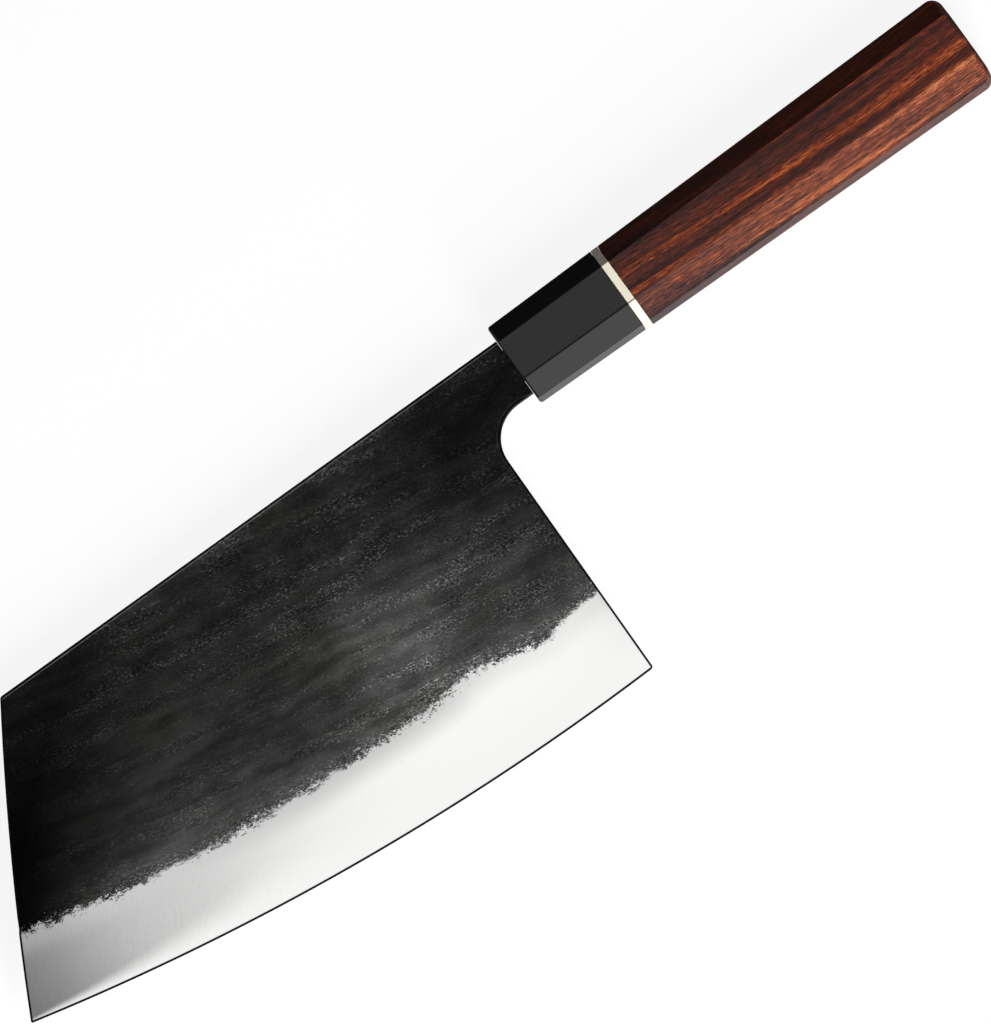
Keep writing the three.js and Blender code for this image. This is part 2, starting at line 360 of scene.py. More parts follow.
class Wiring:
    """A node tree that is wired up by short calls."""

    def __init__(self, tree: bpy.types.NodeTree) -> None:
        """Takes the node tree that is wired up."""
        self.tree = tree

    def add(self, kind: str, feeds: dict[Any, Feed] | None = None, **settings: Any) -> bpy.types.Node:
        """Adds a node.

        Args:
            kind: the node's type.
            feeds: values or sockets for its inputs, by name or number.
            settings: the node's own properties.

        Returns:
            The new node.
        """
        node = self.tree.nodes.new(kind)
        for name, value in settings.items():
            setattr(node, name, value)
        for key, value in (feeds or {}).items():
            if isinstance(value, bpy.types.NodeSocket):
                self.tree.links.new(value, node.inputs[key])
            else:
                node.inputs[key].default_value = value
        return node

    def math(self, operation: str, first: Feed, second: Feed = 0.0, clamp: bool = False) -> Feed:
        """A sum of two values, named as Blender names it."""
        node = self.add("ShaderNodeMath", {0: first, 1: second}, operation=operation, use_clamp=clamp)
        return node.outputs[0]

    def plus(self, *values: Feed) -> Feed:
        """The values added up."""
        return reduce(lambda total, value: self.math("ADD", total, value), values)

    def times(self, *values: Feed) -> Feed:
        """The values multiplied."""
        return reduce(lambda total, value: self.math("MULTIPLY", total, value), values)

    def least(self, *values: Feed) -> Feed:
        """The smallest of the values."""
        return reduce(lambda total, value: self.math("MINIMUM", total, value), values)

    def step(self, value: Feed, start: Feed, end: Feed, low: Feed = 0.0, high: Feed = 1.0) -> Feed:
        """A soft step from low to high while the value goes from start to end."""
        feeds = {"Value": value, "From Min": start, "From Max": end, "To Min": low, "To Max": high}
        return self.add("ShaderNodeMapRange", feeds, interpolation_type="SMOOTHSTEP").outputs[0]

    def swing(self, noise: Feed, low: float, high: float) -> Feed:
        """A noise about 0.5 turned into a soft swing from low to high."""
        return self.step(noise, *NOISE_SPAN, low, high)

    def spread(self, value: Feed, low: float, high: float) -> Feed:
        """A value from 0 to 1 spread evenly from low to high."""
        feeds = {"Value": value, "To Min": low, "To Max": high}
        return self.add("ShaderNodeMapRange", feeds, clamp=False).outputs[0]

    def sway(self, noise: Feed, reach: float) -> Feed:
        """A noise about 0.5 turned into a sway about 0 that reaches so far at most."""
        return self.spread(noise, -reach, reach)

    def follow(self, value: Feed, knots: Knots) -> Feed:
        """A value that follows another along a smooth curve.

        Args:
            value: the value that the curve runs along.
            knots: the curve's points, each a value and what it gives.

        Returns:
            What the curve gives.
        """
        first, last = knots[0][0], knots[-1][0]
        top = max(given for _, given in knots)
        share = self.add("ShaderNodeMapRange", {"Value": value, "From Min": first, "From Max": last})
        node = self.add("ShaderNodeFloatCurve", {"Value": share.outputs[0]})
        places = [((at - first) / (last - first), given / top) for at, given in knots]
        points = node.mapping.curves[0].points
        points[0].location = places[0]
        points[1].location = places[-1]
        for place in places[1:-1]:
            points.new(*place)
        node.mapping.update()
        return self.math("MULTIPLY", node.outputs[0], top)

    def tint(self, share: Feed, first: Feed, second: Feed, way: str = "MIX") -> Feed:
        """A colour between two colours.

        Args:
            share: how much of the second.
            first: the first colour.
            second: the second colour.
            way: how they mix, named as Blender names it.

        Returns:
            The mixed colour.
        """
        feeds = {0: share, MIX_COLOUR_A: as_colour(first), MIX_COLOUR_B: as_colour(second)}
        node = self.add("ShaderNodeMix", feeds, data_type="RGBA", blend_type=way)
        return node.outputs[MIX_COLOUR_OUT]

    def grey(self, tone: Feed, hue: Feed) -> Feed:
        """A colour of one tone with a slight hue."""
        plain = self.add("ShaderNodeCombineColor", {0: tone, 1: tone, 2: tone}).outputs[0]
        return self.tint(1.0, plain, hue, "MULTIPLY")

    def blend(self, share: Feed, first: Feed, second: Feed) -> Feed:
        """A value between two values."""
        feeds = {0: share, MIX_VALUE_A: first, MIX_VALUE_B: second}
        return self.add("ShaderNodeMix", feeds, data_type="FLOAT").outputs[0]

    def ramp(self, value: Feed, stops: Sequence[tuple[float, Colour]]) -> Feed:
        """A colour that follows a value through a few stops.

        Args:
            value: the value from 0 to 1.
            stops: each stop's value and colour.

        Returns:
            The colour.
        """
        node = self.add("ShaderNodeValToRGB", {0: value})
        elements = node.color_ramp.elements
        while len(elements) < len(stops):
            elements.new(1.0)
        for element, (position, colour) in zip(elements, stops):
            element.position = position
            element.color = as_colour(colour)
        return node.outputs[0]

    def vector(self, operation: str, first: Feed, second: Feed = (0.0, 0.0, 0.0)) -> Feed:
        """A sum of two vectors, named as Blender names it."""
        node = self.add("ShaderNodeVectorMath", {0: first, 1: second}, operation=operation)
        return node.outputs["Value" if operation in ("DISTANCE", "LENGTH", "DOT_PRODUCT") else "Vector"]

    def axes(self, place: Feed) -> Sequence[Feed]:
        """A place's x, y and z."""
        return self.add("ShaderNodeSeparateXYZ", {0: place}).outputs

    def under(self, place: Feed, facet: Plane) -> Feed:
        """How deep a place lies under a plane, in millimetres."""
        return self.math("SUBTRACT", facet.level, self.vector("DOT_PRODUCT", place, facet.outward))

    def darkened(self, colour: Feed, kept: Feed) -> Feed:
        """A colour that keeps a share of its light."""
        return self.tint(1.0, colour, kept, "MULTIPLY")

    def wander(self, place: Feed, size: float, reach: tuple[float, float, float]) -> Feed:
        """Moves a place to and fro by a slow noise, so that a pattern laid on it runs less straight.

        Args:
            place: the place in millimetres.
            size: the noise's size in millimetres.
            reach: how far the place moves along, across and through.

        Returns:
            The moved place.
        """
        feeds = {"Vector": place, "Scale": 1 / size, "Detail": 1.0}
        noise = self.add("ShaderNodeTexNoise", feeds).outputs["Color"]
        centred = self.vector("SUBTRACT", noise, (HALF, HALF, HALF))
        return self.vector("ADD", place, self.vector("MULTIPLY", centred, reach))

    def grain(self, place: Feed, grain: Grain) -> Feed:
        """Drawn-out noise from the shared grain group.

        Args:
            place: the place in millimetres.
            grain: how the noise looks.

        Returns:
            A value about 0.5.
        """
        feeds = {
            "Place": place,
            "Turn": (0, 0, -math.radians(grain.turn)),
            "Per Millimetre": [1 / size for size in grain.size],
            "Detail": grain.layers,
            "Roughness": grain.harshness,
        }
        return self.placed(grain_group(), feeds).outputs["Grain"]

    def flecks(self, place: Feed, size: float, cover: Feed, soft: float) -> Feed:
        """Small flecks from the shared fleck group.

        Args:
            place: the place in millimetres.
            size: a fleck's size in millimetres.
            cover: the share of the surface that the flecks cover.
            soft: how soft a fleck's rim is.

        Returns:
            A mask that is 1 on a fleck.
        """
        feeds = {"Place": place, "Per Millimetre": 1 / size, "Cover": cover, "Softness": soft}
        return self.placed(fleck_group(), feeds).outputs["Flecks"]

    def placed(self, group: bpy.types.NodeTree, feeds: dict[str, Feed]) -> bpy.types.Node:
        """Places a node group in this tree, with values or sockets for its inputs by name."""
        return self.add("ShaderNodeGroup", feeds, node_tree=group)


def as_colour(value: Feed) -> Feed:
    """A colour with its alpha, or the socket itself."""
    return (*value, 1.0) if isinstance(value, tuple) and len(value) == 3 else value


def new_group(name: str, inputs: dict[str, str], output: str) -> tuple[bpy.types.NodeTree, Wiring]:
    """Starts a shader node group.

    Args:
        name: the group's name.
        inputs: each input's name and socket type.
        output: the name of its one output value.

    Returns:
        The group and its wiring.
    """
    tree = bpy.data.node_groups.new(name, "ShaderNodeTree")
    for label, kind in inputs.items():
        tree.interface.new_socket(label, in_out="INPUT", socket_type=kind)
    tree.interface.new_socket(output, in_out="OUTPUT", socket_type="NodeSocketFloat")
    return tree, Wiring(tree)


def grain_group() -> bpy.types.NodeTree:
    """The shared node group for drawn-out grain, made once.

    Returns:
        The group.
    """
    name = "drawn_out_grain"
    if name in bpy.data.node_groups:
        return bpy.data.node_groups[name]
    sockets = {
        "Place": "NodeSocketVector",
        "Turn": "NodeSocketVector",
        "Per Millimetre": "NodeSocketVector",
        "Detail": "NodeSocketFloat",
        "Roughness": "NodeSocketFloat",
    }
    tree, wiring = new_group(name, sockets, "Grain")
    source = wiring.add("NodeGroupInput").outputs
    turned = wiring.add("ShaderNodeMapping", {"Vector": source["Place"], "Rotation": source["Turn"]})
    sized = wiring.add(
        "ShaderNodeVectorMath",
        {0: turned.outputs[0], 1: source["Per Millimetre"]},
        operation="MULTIPLY",
    )
    noise = wiring.add(
        "ShaderNodeTexNoise",
        {
            "Vector": sized.outputs[0],
            "Scale": 1.0,
            "Detail": source["Detail"],
            "Roughness": source["Roughness"],
        },
    )
    wiring.add("NodeGroupOutput", {"Grain": noise.outputs[0]})
    return tree


def fleck_group() -> bpy.types.NodeTree:
    """The shared node group for small flecks, made once.

    Returns:
        The group.
    """
    name = "small_flecks"
    if name in bpy.data.node_groups:
        return bpy.data.node_groups[name]
    sockets = {
        "Place": "NodeSocketVector",
        "Per Millimetre": "NodeSocketFloat",
        "Cover": "NodeSocketFloat",
        "Softness": "NodeSocketFloat",
    }
    tree, wiring = new_group(name, sockets, "Flecks")
    source = wiring.add("NodeGroupInput").outputs
    noise = wiring.add(
        "ShaderNodeTexNoise",
        {
            "Vector": source["Place"],
            "Scale": source["Per Millimetre"],
            "Detail": FLECK_LAYERS,
            "Roughness": FLECK_HARSHNESS,
        },
    )
    most, least = FLECK_BAR
    feeds = {"Value": source["Cover"], "To Min": most, "To Max": least}
    bar = wiring.add("ShaderNodeMapRange", feeds).outputs[0]
    top = wiring.math("ADD", bar, source["Softness"])
    mask = wiring.step(noise.outputs[0], bar, top)
    wiring.add("NodeGroupOutput", {"Flecks": mask})
    return tree


@dataclass(frozen=True)
class Finish:
    """A surface finish: values that are alike all over, which each kind of finish wires up further."""

    name: str
    specular: float = 0.5

    def material(self) -> bpy.types.Material:
        """Builds the material.

        Returns:
            The finished material.
        """
        material = bpy.data.materials.new(self.name)
        material.use_nodes = True
        wiring = Wiring(material.node_tree)
        shader = material.node_tree.nodes["Principled BSDF"]
        shader.inputs["Specular IOR Level"].default_value = self.specular
        corner = wiring.add("ShaderNodeTexCoord")
        place = wiring.add("ShaderNodeMapping", {"Vector": corner.outputs["Object"]})
        place.inputs["Location"].default_value = -ORIGIN / MM
        place.inputs["Scale"].default_value = (1 / MM, 1 / MM, 1 / MM)
        self.wire(wiring, place.outputs[0], shader)
        return material

    def wire(self, wiring: Wiring, place: Feed, shader: bpy.types.Node) -> None:
        """Wires the finish's own pattern to the shader.

        Args:
            wiring: the material's node tree.
            place: the place on the knife in millimetres.
            shader: the Principled BSDF.
        """
        raise NotImplementedError

    @staticmethod
    def feed(wiring: Wiring, shader: bpy.types.Node, feeds: dict[str, Feed]) -> None:
        """Links values to the shader's sockets by name."""
        for name, value in feeds.items():
            wiring.tree.links.new(value, shader.inputs[name])

    @staticmethod
    def relief(wiring: Wiring, shader: bpy.types.Node, height: Feed, depth: float) -> None:
        """Gives the surface fine relief.

        Args:
            wiring: the material's node tree.
            shader: the Principled BSDF.
            height: the relief from 0 to 1.
            depth: its depth in millimetres.
        """
        bump = wiring.add("ShaderNodeBump", {"Height": height, "Distance": depth * MM, "Strength": 1.0})
        wiring.tree.links.new(bump.outputs[0], shader.inputs["Normal"])


@dataclass
class Blade:
    """The forged blade with its neck and its stick tang, as one piece of steel."""

    reach: float = 196.0
    spine_reach: float = 154.3
    spine_height: float = 7.6
    spine_rise: float = 0.65
    front_radius: float = 800.0
    edge_radius: float = 686.0
    edge_depth: float = 83.5
    edge_low_reach: float = 32.8
    heel_reach: float = 16.1
    heel_lean: float = 0.8
    neck_depth: float = 8.6
    choil_radius: float = 10.3
    spine_thickness: float = 3.0
    front_thickness: float = 2.6
    bevel_thickness: float = 2.3
    bevel_height: float = 24.5
    lip_thickness: float = 0.4
    lip_height: float = 0.8
    edge_land: float = 0.1
    tang_length: float = 92.0
    tang_root_height: float = 9.5
    tang_end_height: float = 6.0
    tang_ease: float = 0.96
    corner_radius: float = 1.1
    tip_radius: float = 0.4
    heel_radius: float = 0.9
    arris_radius: float = 0.55
    arris_facets: int = 3
    arris_profile: float = 0.5
    arris_margin: float = 1.0
    wall_tilt: float = 0.5
    flat_tilt: float = 0.9
    shoulder_gap: float = 0.1
    front_facets: int = 20
    edge_facets: int = 40
    choil_facets: int = 16
    corner_facets: int = 4
    blank_margin: float = 6.0
    smooth_below: float = 25.0

    @property
    def edge_centre(self) -> Vector:
        """Middle of the circle that the cutting edge follows."""
        return Vector((-self.edge_low_reach, self.edge_radius - self.edge_depth, 0))

    @property
    def spine_corner(self) -> Vector:
        """Where the spine meets the front."""
        return Vector((-self.spine_reach, self.spine_height + self.spine_rise, 0))

    @property
    def tip(self) -> Vector:
        """Where the front meets the cutting edge."""
        return self.edge_point(-self.reach)

    @property
    def heel(self) -> Vector:
        """Where the cutting edge meets the heel."""
        return self.edge_point(-self.heel_reach)

    @property
    def choil_foot(self) -> Vector:
        """Where the straight heel runs into the choil's curve."""
        return Vector((self.heel_lean - self.heel_reach, -self.neck_depth - self.choil_radius, 0))

    @property
    def choil_centre(self) -> Vector:
        """Middle of the circle that the choil follows."""
        return self.choil_foot + Vector((self.choil_radius, 0, 0))

    @property
    def front_centre(self) -> Vector:
        """Middle of the circle that the front follows.

        Returns:
            The point.
        """
        chord = self.tip - self.spine_corner
        rise = math.sqrt(self.front_radius**2 - (chord.length / 2) ** 2)
        inward = Vector((-chord.y, chord.x, 0)).normalized()
        return (self.tip + self.spine_corner) / 2 + inward * rise

    def edge_point(self, x: float) -> Vector:
        """The point of the cutting edge at a place along x."""
        run = x - self.edge_centre.x
        return Vector((x, self.edge_centre.y - math.sqrt(self.edge_radius**2 - run**2), 0))

    def edge_directions(self) -> list[Vector]:
        """Directions from the edge's centre to evenly spread points of the edge.

        Returns:
            The directions, from the tip to the heel.
        """
        reaches = (-self.reach, -self.heel_reach)
        first, last = (math.asin((x - self.edge_centre.x) / self.edge_radius) for x in reaches)
        shares = [step / self.edge_facets for step in range(self.edge_facets + 1)]
        turns = [first + (last - first) * share for share in shares]
        return [Vector((math.sin(turn), -math.cos(turn), 0)) for turn in turns]

    def front_planes(self) -> list[Plane]:
        """Planes along the curved front, from the spine to the tip.

        Returns:
            The planes.
        """
        first = (self.spine_corner - self.front_centre).normalized()
        last = (self.tip - self.front_centre).normalized()
        outwards = [first.slerp(last, step / self.front_facets) for step in range(self.front_facets + 1)]
        return [Plane(self.front_centre + outward * self.front_radius, outward) for outward in outwards]

    def edge_planes(self) -> list[Plane]:
        """Planes along the cutting edge, from the tip to the heel."""
        centre, radius = self.edge_centre, self.edge_radius
        return [Plane(centre + outward * radius, outward) for outward in self.edge_directions()]

    def spine_plane(self) -> Plane:
        """The plane of the spine."""
        return plane((0, self.spine_height, 0), (self.spine_rise, self.spine_reach, 0))

    def heel_plane(self) -> Plane:
        """The plane of the straight heel."""
        run = self.choil_foot - self.heel
        return plane(self.heel, (run.y, -run.x, 0))

    def flat_plane(self, side: int) -> Plane:
        """The plane of one of the blade's two flats.

        Args:
            side: 1 for the left side, -1 for the right.

        Returns:
            The plane.
        """
        root = Vector((0, self.spine_height, self.spine_thickness / 2))
        front = self.spine_corner + Vector((0, 0, self.front_thickness / 2))
        low = self.heel + Vector((0, self.bevel_height, self.bevel_thickness / 2))
        outward = (front - root).cross(low - root).normalized()
        outward *= math.copysign(1, outward.z)
        mirror = Vector((1, 1, side))
        return Plane(root * mirror, outward * mirror)

    def cone_planes(self, foot: tuple[float, float], top: tuple[float, float]) -> list[Plane]:
        """Planes of a ground band along the edge, on both sides.

        Args:
            foot: the band's lower height above the edge, and the blade's thickness there.
            top: its upper height and the thickness there.

        Returns:
            The planes.
        """
        slope = (top[1] - foot[1]) / 2 / (top[0] - foot[0])
        planes = []
        for side in (1, -1):
            for direction in self.edge_directions():
                point = self.edge_centre + direction * (self.edge_radius - foot[0])
                outward = direction * slope + Vector((0, 0, side))
                planes.append(plane(point + Vector((0, 0, side * foot[1] / 2)), outward))
        return planes

    def build(self) -> bpy.types.Object:
        """Models the blade.

        Returns:
            The finished object.
        """
        margin = self.blank_margin
        half = self.spine_thickness / 2
        low = (-self.reach - margin, -self.edge_depth - margin, -half)
        high = (0, self.spine_height + self.spine_rise + margin, half)
        piece = Workpiece.block("blade_steel", low, high)
        with piece.editing():
            piece.cut(self.outline_planes())
            self.draw_out_neck(piece)
            piece.cut([self.spine_plane(), self.flat_plane(1), self.flat_plane(-1)])
            lip_top = (self.lip_height, self.lip_thickness)
            piece.cut(self.cone_planes(lip_top, (self.bevel_height, self.bevel_thickness)))
            piece.cut(self.cone_planes((0, self.edge_land), lip_top))
            self.ease_arrises(piece)
            self.draw_out_tang(piece)
        return piece.close_up(self.smooth_below)

    def outline_planes(self) -> list[Plane]:
        """Planes of the blade's outline in front of its neck, with its corners rounded.

        Returns:
            The planes.
        """
        front, edge = self.front_planes(), self.edge_planes()
        heel, spine = self.heel_plane(), self.spine_plane()
        corners = rounding(spine, front[0], self.corner_radius, self.corner_facets)
        corners += rounding(front[-1], edge[0], self.tip_radius, self.corner_facets)
        corners += rounding(edge[-1], heel, self.heel_radius, self.corner_facets)
        neck = plane(self.choil_foot, (1, 0, 0))
        return [*front, *edge, heel, neck, *corners]

    def draw_out_neck(self, piece: Workpiece) -> None:
        """Draws the neck out of the heel's upper part, along the choil's curve, in edit mode.

        Args:
            piece: the blade.
        """
        foot = self.choil_foot
        piece.pick(
            Element.FACE,
            lambda face: face.normal.x > NEARLY_SQUARE and middle_of(face).y > foot.y,
        )
        turns = [math.pi / 2 * step / self.choil_facets for step in range(1, self.choil_facets + 1)]
        stations = [
            (foot.x + self.choil_radius * (1 - math.cos(turn)), foot.y + self.choil_radius * math.sin(turn))
            for turn in turns
        ]
        stations.append((-self.shoulder_gap, -self.neck_depth))
        underside = foot.y
        for x, y in stations:
            self.draw_to(x)
            self.lift_underside(piece, x, y - underside)
            underside = y

    @staticmethod
    def draw_to(x: float) -> None:
        """Extrudes the selected end face to a plane across the handle's middle line, in edit mode."""
        bpy.ops.mesh.extrude_region_move()
        bpy.ops.transform.resize(value=(0, 1, 1), center_override=(x * MM, 0, 0))

    @staticmethod
    def lift_underside(piece: Workpiece, x: float, rise: float) -> None:
        """Moves the lower edge of the end face at x up or down and selects the face, in edit mode.

        Args:
            piece: the blade.
            x: where the end face is.
            rise: how far its lower edge goes up.
        """
        reach = 0.01
        shape = bmesh.from_edit_mesh(piece.body.data)
        lowest = min(vertex.co.y for vertex in shape.verts if abs(vertex.co.x - x * MM) < reach * MM)
        piece.pick(
            Element.VERTEX,
            lambda vertex: abs(vertex.co.x - x * MM) < reach * MM and vertex.co.y < lowest + reach * MM,
        )
        bpy.ops.transform.translate(value=(0, rise * MM, 0))
        piece.pick(
            Element.FACE,
            lambda face: face.normal.x > SQUARE_ON and abs(middle_of(face).x - x) < reach,
        )

    def draw_out_tang(self, piece: Workpiece) -> None:
        """Draws the tang out of the neck's end, in edit mode.

        Args:
            piece: the blade.
        """
        height = self.spine_height + self.neck_depth
        middle = (self.spine_height - self.neck_depth) / 2 * MM
        shoulder = -self.shoulder_gap
        piece.pick(
            Element.FACE,
            lambda face: face.normal.x > NEARLY_SQUARE and middle_of(face).x > 2 * shoulder,
        )
        bpy.ops.mesh.extrude_region_move()
        bpy.ops.transform.resize(
            value=(1, self.tang_root_height / height, self.tang_ease),
            center_override=(shoulder * MM, middle, 0),
        )
        bpy.ops.transform.translate(value=(0, -middle, 0))
        self.draw_to(self.tang_length)
        taper = self.tang_end_height / self.tang_root_height
        bpy.ops.transform.resize(value=(1, taper, 1), center_override=(self.tang_length * MM, 0, 0))

    def ease_arrises(self, piece: Workpiece) -> None:
        """Rounds the arrises of spine, front, neck and choil above the ground bevel, in edit mode.

        Args:
            piece: the blade.
        """
        top = self.edge_radius - self.bevel_height

        def is_arris(edge: Any) -> bool:
            """Tells whether an edge lies between a flat and a wall of the outline, above the bevel.

            Args:
                edge: the edge.

            Returns:
                True on an arris.
            """
            if len(edge.link_faces) != 2:
                return False
            tilts = sorted(abs(face.normal.z) for face in edge.link_faces)
            middle = middle_of(edge)
            above = (middle.xy - self.edge_centre.xy).length < top - self.arris_margin
            meets = tilts[0] < self.wall_tilt and tilts[1] > self.flat_tilt
            return meets and above and middle.x < -2 * self.shoulder_gap

        piece.pick(Element.EDGE, is_arris)
        bpy.ops.mesh.bevel(
            offset=self.arris_radius * MM,
            segments=self.arris_facets,
            profile=self.arris_profile,
            affect="EDGES",
            clamp_overlap=False,
        )


@dataclass(frozen=True)
class PaintedArrisShade:
    """A dark line of painted shade along the arris where two facets meet, alike on the left and the right.
    """

    facet: Plane
    neighbour: Plane
    width: float = 0.3
    core: float = 0.1
    strength: float = 0.75
    skin: Span = (0.2, 0.5)

    def wire(self, wiring: Wiring, place: Feed) -> Feed:
        """Wires the painted shade line.

        Args:
            wiring: the material's node tree.
            place: the place on the knife in millimetres.

        Returns:
            How much light the surface keeps, lowest on the line.
        """
        axes = wiring.axes(place)
        side = wiring.math("ABSOLUTE", axes[2])
        left = wiring.add("ShaderNodeCombineXYZ", {0: axes[0], 1: axes[1], 2: side}).outputs[0]
        depths = [wiring.under(left, facet) for facet in (self.facet, self.neighbour)]
        apart = wiring.math("ABSOLUTE", wiring.math("SUBTRACT", *depths))
        inside = wiring.step(wiring.least(*depths), *self.skin)
        off_line = wiring.math("MAXIMUM", wiring.step(apart, self.core, self.width), inside)
        return wiring.spread(off_line, 1 - self.strength, 1)


@dataclass(frozen=True)
class EndRounding:
    """How the end of a bar is rounded, more on its narrow sides than on its flats where that is set."""

    radius: float
    steps: int
    side_radius: float | None = None
    side_power: int = 4

    def radius_on(self, side: Plane) -> float:
        """The rounding's radius on one side of the bar."""
        side_radius = self.side_radius or self.radius
        return self.radius + (side_radius - self.radius) * side.outward.y**self.side_power


@dataclass
class Handle:
    """The octagonal handle: ferrule, spacer ring and grip, cut from one tapering bar."""

    front_height: float = 22.2
    front_width: float = 20.6
    chamfer: float = 5.5
    butt_height: float = 25.75
    arris_radius: float = 0.5
    arris_facets: int = 2
    ferrule_round: float = 0.8
    ferrule_facets: int = 3
    butt_round: float = 1.3
    butt_side_round: float = 3.4
    butt_facets: int = 5
    joint_round: float = 0.12
    joint_facets: int = 1
    bore_fit: float = 0.15
    bore_sides: int = 64
    glue_line: float = 0.1
    bar_margin: float = 4.0
    sides_round: int = 8
    smooth_below: float = 40.0

    def facets(self) -> list[Plane]:
        """The bar's eight facets, in order round the bar, all tapering towards one point.

        Returns:
            The planes.
        """
        length = span_of("grip")[1].x
        taper = (self.butt_height / self.front_height - 1) / length
        diagonal = (self.front_height / 2 + self.front_width / 2 - self.chamfer) / math.sqrt(2)
        levels = (self.front_height / 2, diagonal, self.front_width / 2, diagonal)
        planes = []
        for index in range(self.sides_round):
            turn = 2 * math.pi * index / self.sides_round
            across = Vector((0, math.cos(turn), math.sin(turn)))
            level = levels[index % len(levels)]
            planes.append(plane(across * level, across - Vector((level * taper, 0, 0))))
        return planes

    def sides(self) -> list[Plane]:
        """The bar's facets with the planes that round their arrises, in order round the bar.

        Returns:
            The planes.
        """
        facets = self.facets()
        planes = []
        for index, facet in enumerate(facets):
            following = facets[(index + 1) % len(facets)]
            planes += [facet, *rounding(facet, following, self.arris_radius, self.arris_facets)]
        return planes

    def bar(self) -> Workpiece:
        """Models the whole tapering bar.

        Returns:
            The bar, longer than the handle at both ends.
        """
        low, high = span_of("grip")
        reach = Vector((self.bar_margin, self.bar_margin, self.bar_margin))
        start = Vector((0, low.y, low.z)) - reach
        piece = Workpiece.block("grip_wood", start, high + reach)
        with piece.editing():
            piece.cut(self.sides())
        return piece

    def lower_arris_shade(self) -> PaintedArrisShade:
        """The painted shade line along the arris below the handle's two broad flats."""
        facets = self.facets()
        return PaintedArrisShade(facets[Facet.LEFT_FLAT], facets[Facet.EDGE_CHAMFER])

    def cut_to_length(self, piece: Workpiece, node: str, front: EndRounding, back: EndRounding) -> None:
        """Cuts a copy of the bar to a CAD node's length and rounds its ends.

        Args:
            piece: the copy of the bar.
            node: the CAD node.
            front: how its front is rounded.
            back: how its back is rounded.
        """
        low, high = span_of(node)
        ends = [(plane((low.x, 0, 0), (-1, 0, 0)), front), (plane((high.x, 0, 0), (1, 0, 0)), back)]
        with piece.editing():
            for end, shape in ends:
                piece.cut([end])
                for side in self.sides():
                    piece.cut(rounding(side, end, shape.radius_on(side), shape.steps))

    def bore(self, piece: Workpiece, start: float, end: float) -> None:
        """Bores a piece for the dowel along the handle's middle line.

        Args:
            piece: the piece that is bored.
            start: where the bore begins along x.
            end: where it ends.
        """
        low, high = span_of("dowel_left")
        radius = (high.y - low.y) / 2 + self.bore_fit
        piece.hollow(Workpiece.rod("dowel_bore", start, end, radius, self.bore_sides))

    def build(self) -> dict[str, bpy.types.Object]:
        """Models the handle's three pieces.

        Returns:
            The finished objects, by the CAD node that each stands for.
        """
        grip = self.bar()
        ferrule, spacer = grip.copy("ferrule_wood"), grip.copy("spacer_ring")
        joint = EndRounding(self.joint_round, self.joint_facets)
        butt = EndRounding(self.butt_round, self.butt_facets, self.butt_side_round)
        self.cut_to_length(ferrule, "ferrule", EndRounding(self.ferrule_round, self.ferrule_facets), joint)
        self.cut_to_length(spacer, "spacer", joint, joint)
        self.cut_to_length(grip, "grip", joint, butt)
        seal_low, seal_high = span_of("mouth_seal")
        dowel_low, dowel_high = span_of("dowel_left")
        fit = Vector((self.bar_margin, self.glue_line, self.glue_line))
        ferrule.hollow(Workpiece.block("tang_slot", seal_low - fit, seal_high + fit))
        past_ferrule = span_of("ferrule")[1].x + self.bar_margin
        self.bore(ferrule, dowel_low.x - self.glue_line, past_ferrule)
        self.bore(spacer, dowel_low.x, past_ferrule + self.bar_margin)
        self.bore(grip, dowel_low.x, dowel_high.x + self.glue_line)
        pieces = {"ferrule": ferrule, "spacer": spacer, "grip": grip}
        return {node: piece.close_up(self.smooth_below) for node, piece in pieces.items()}


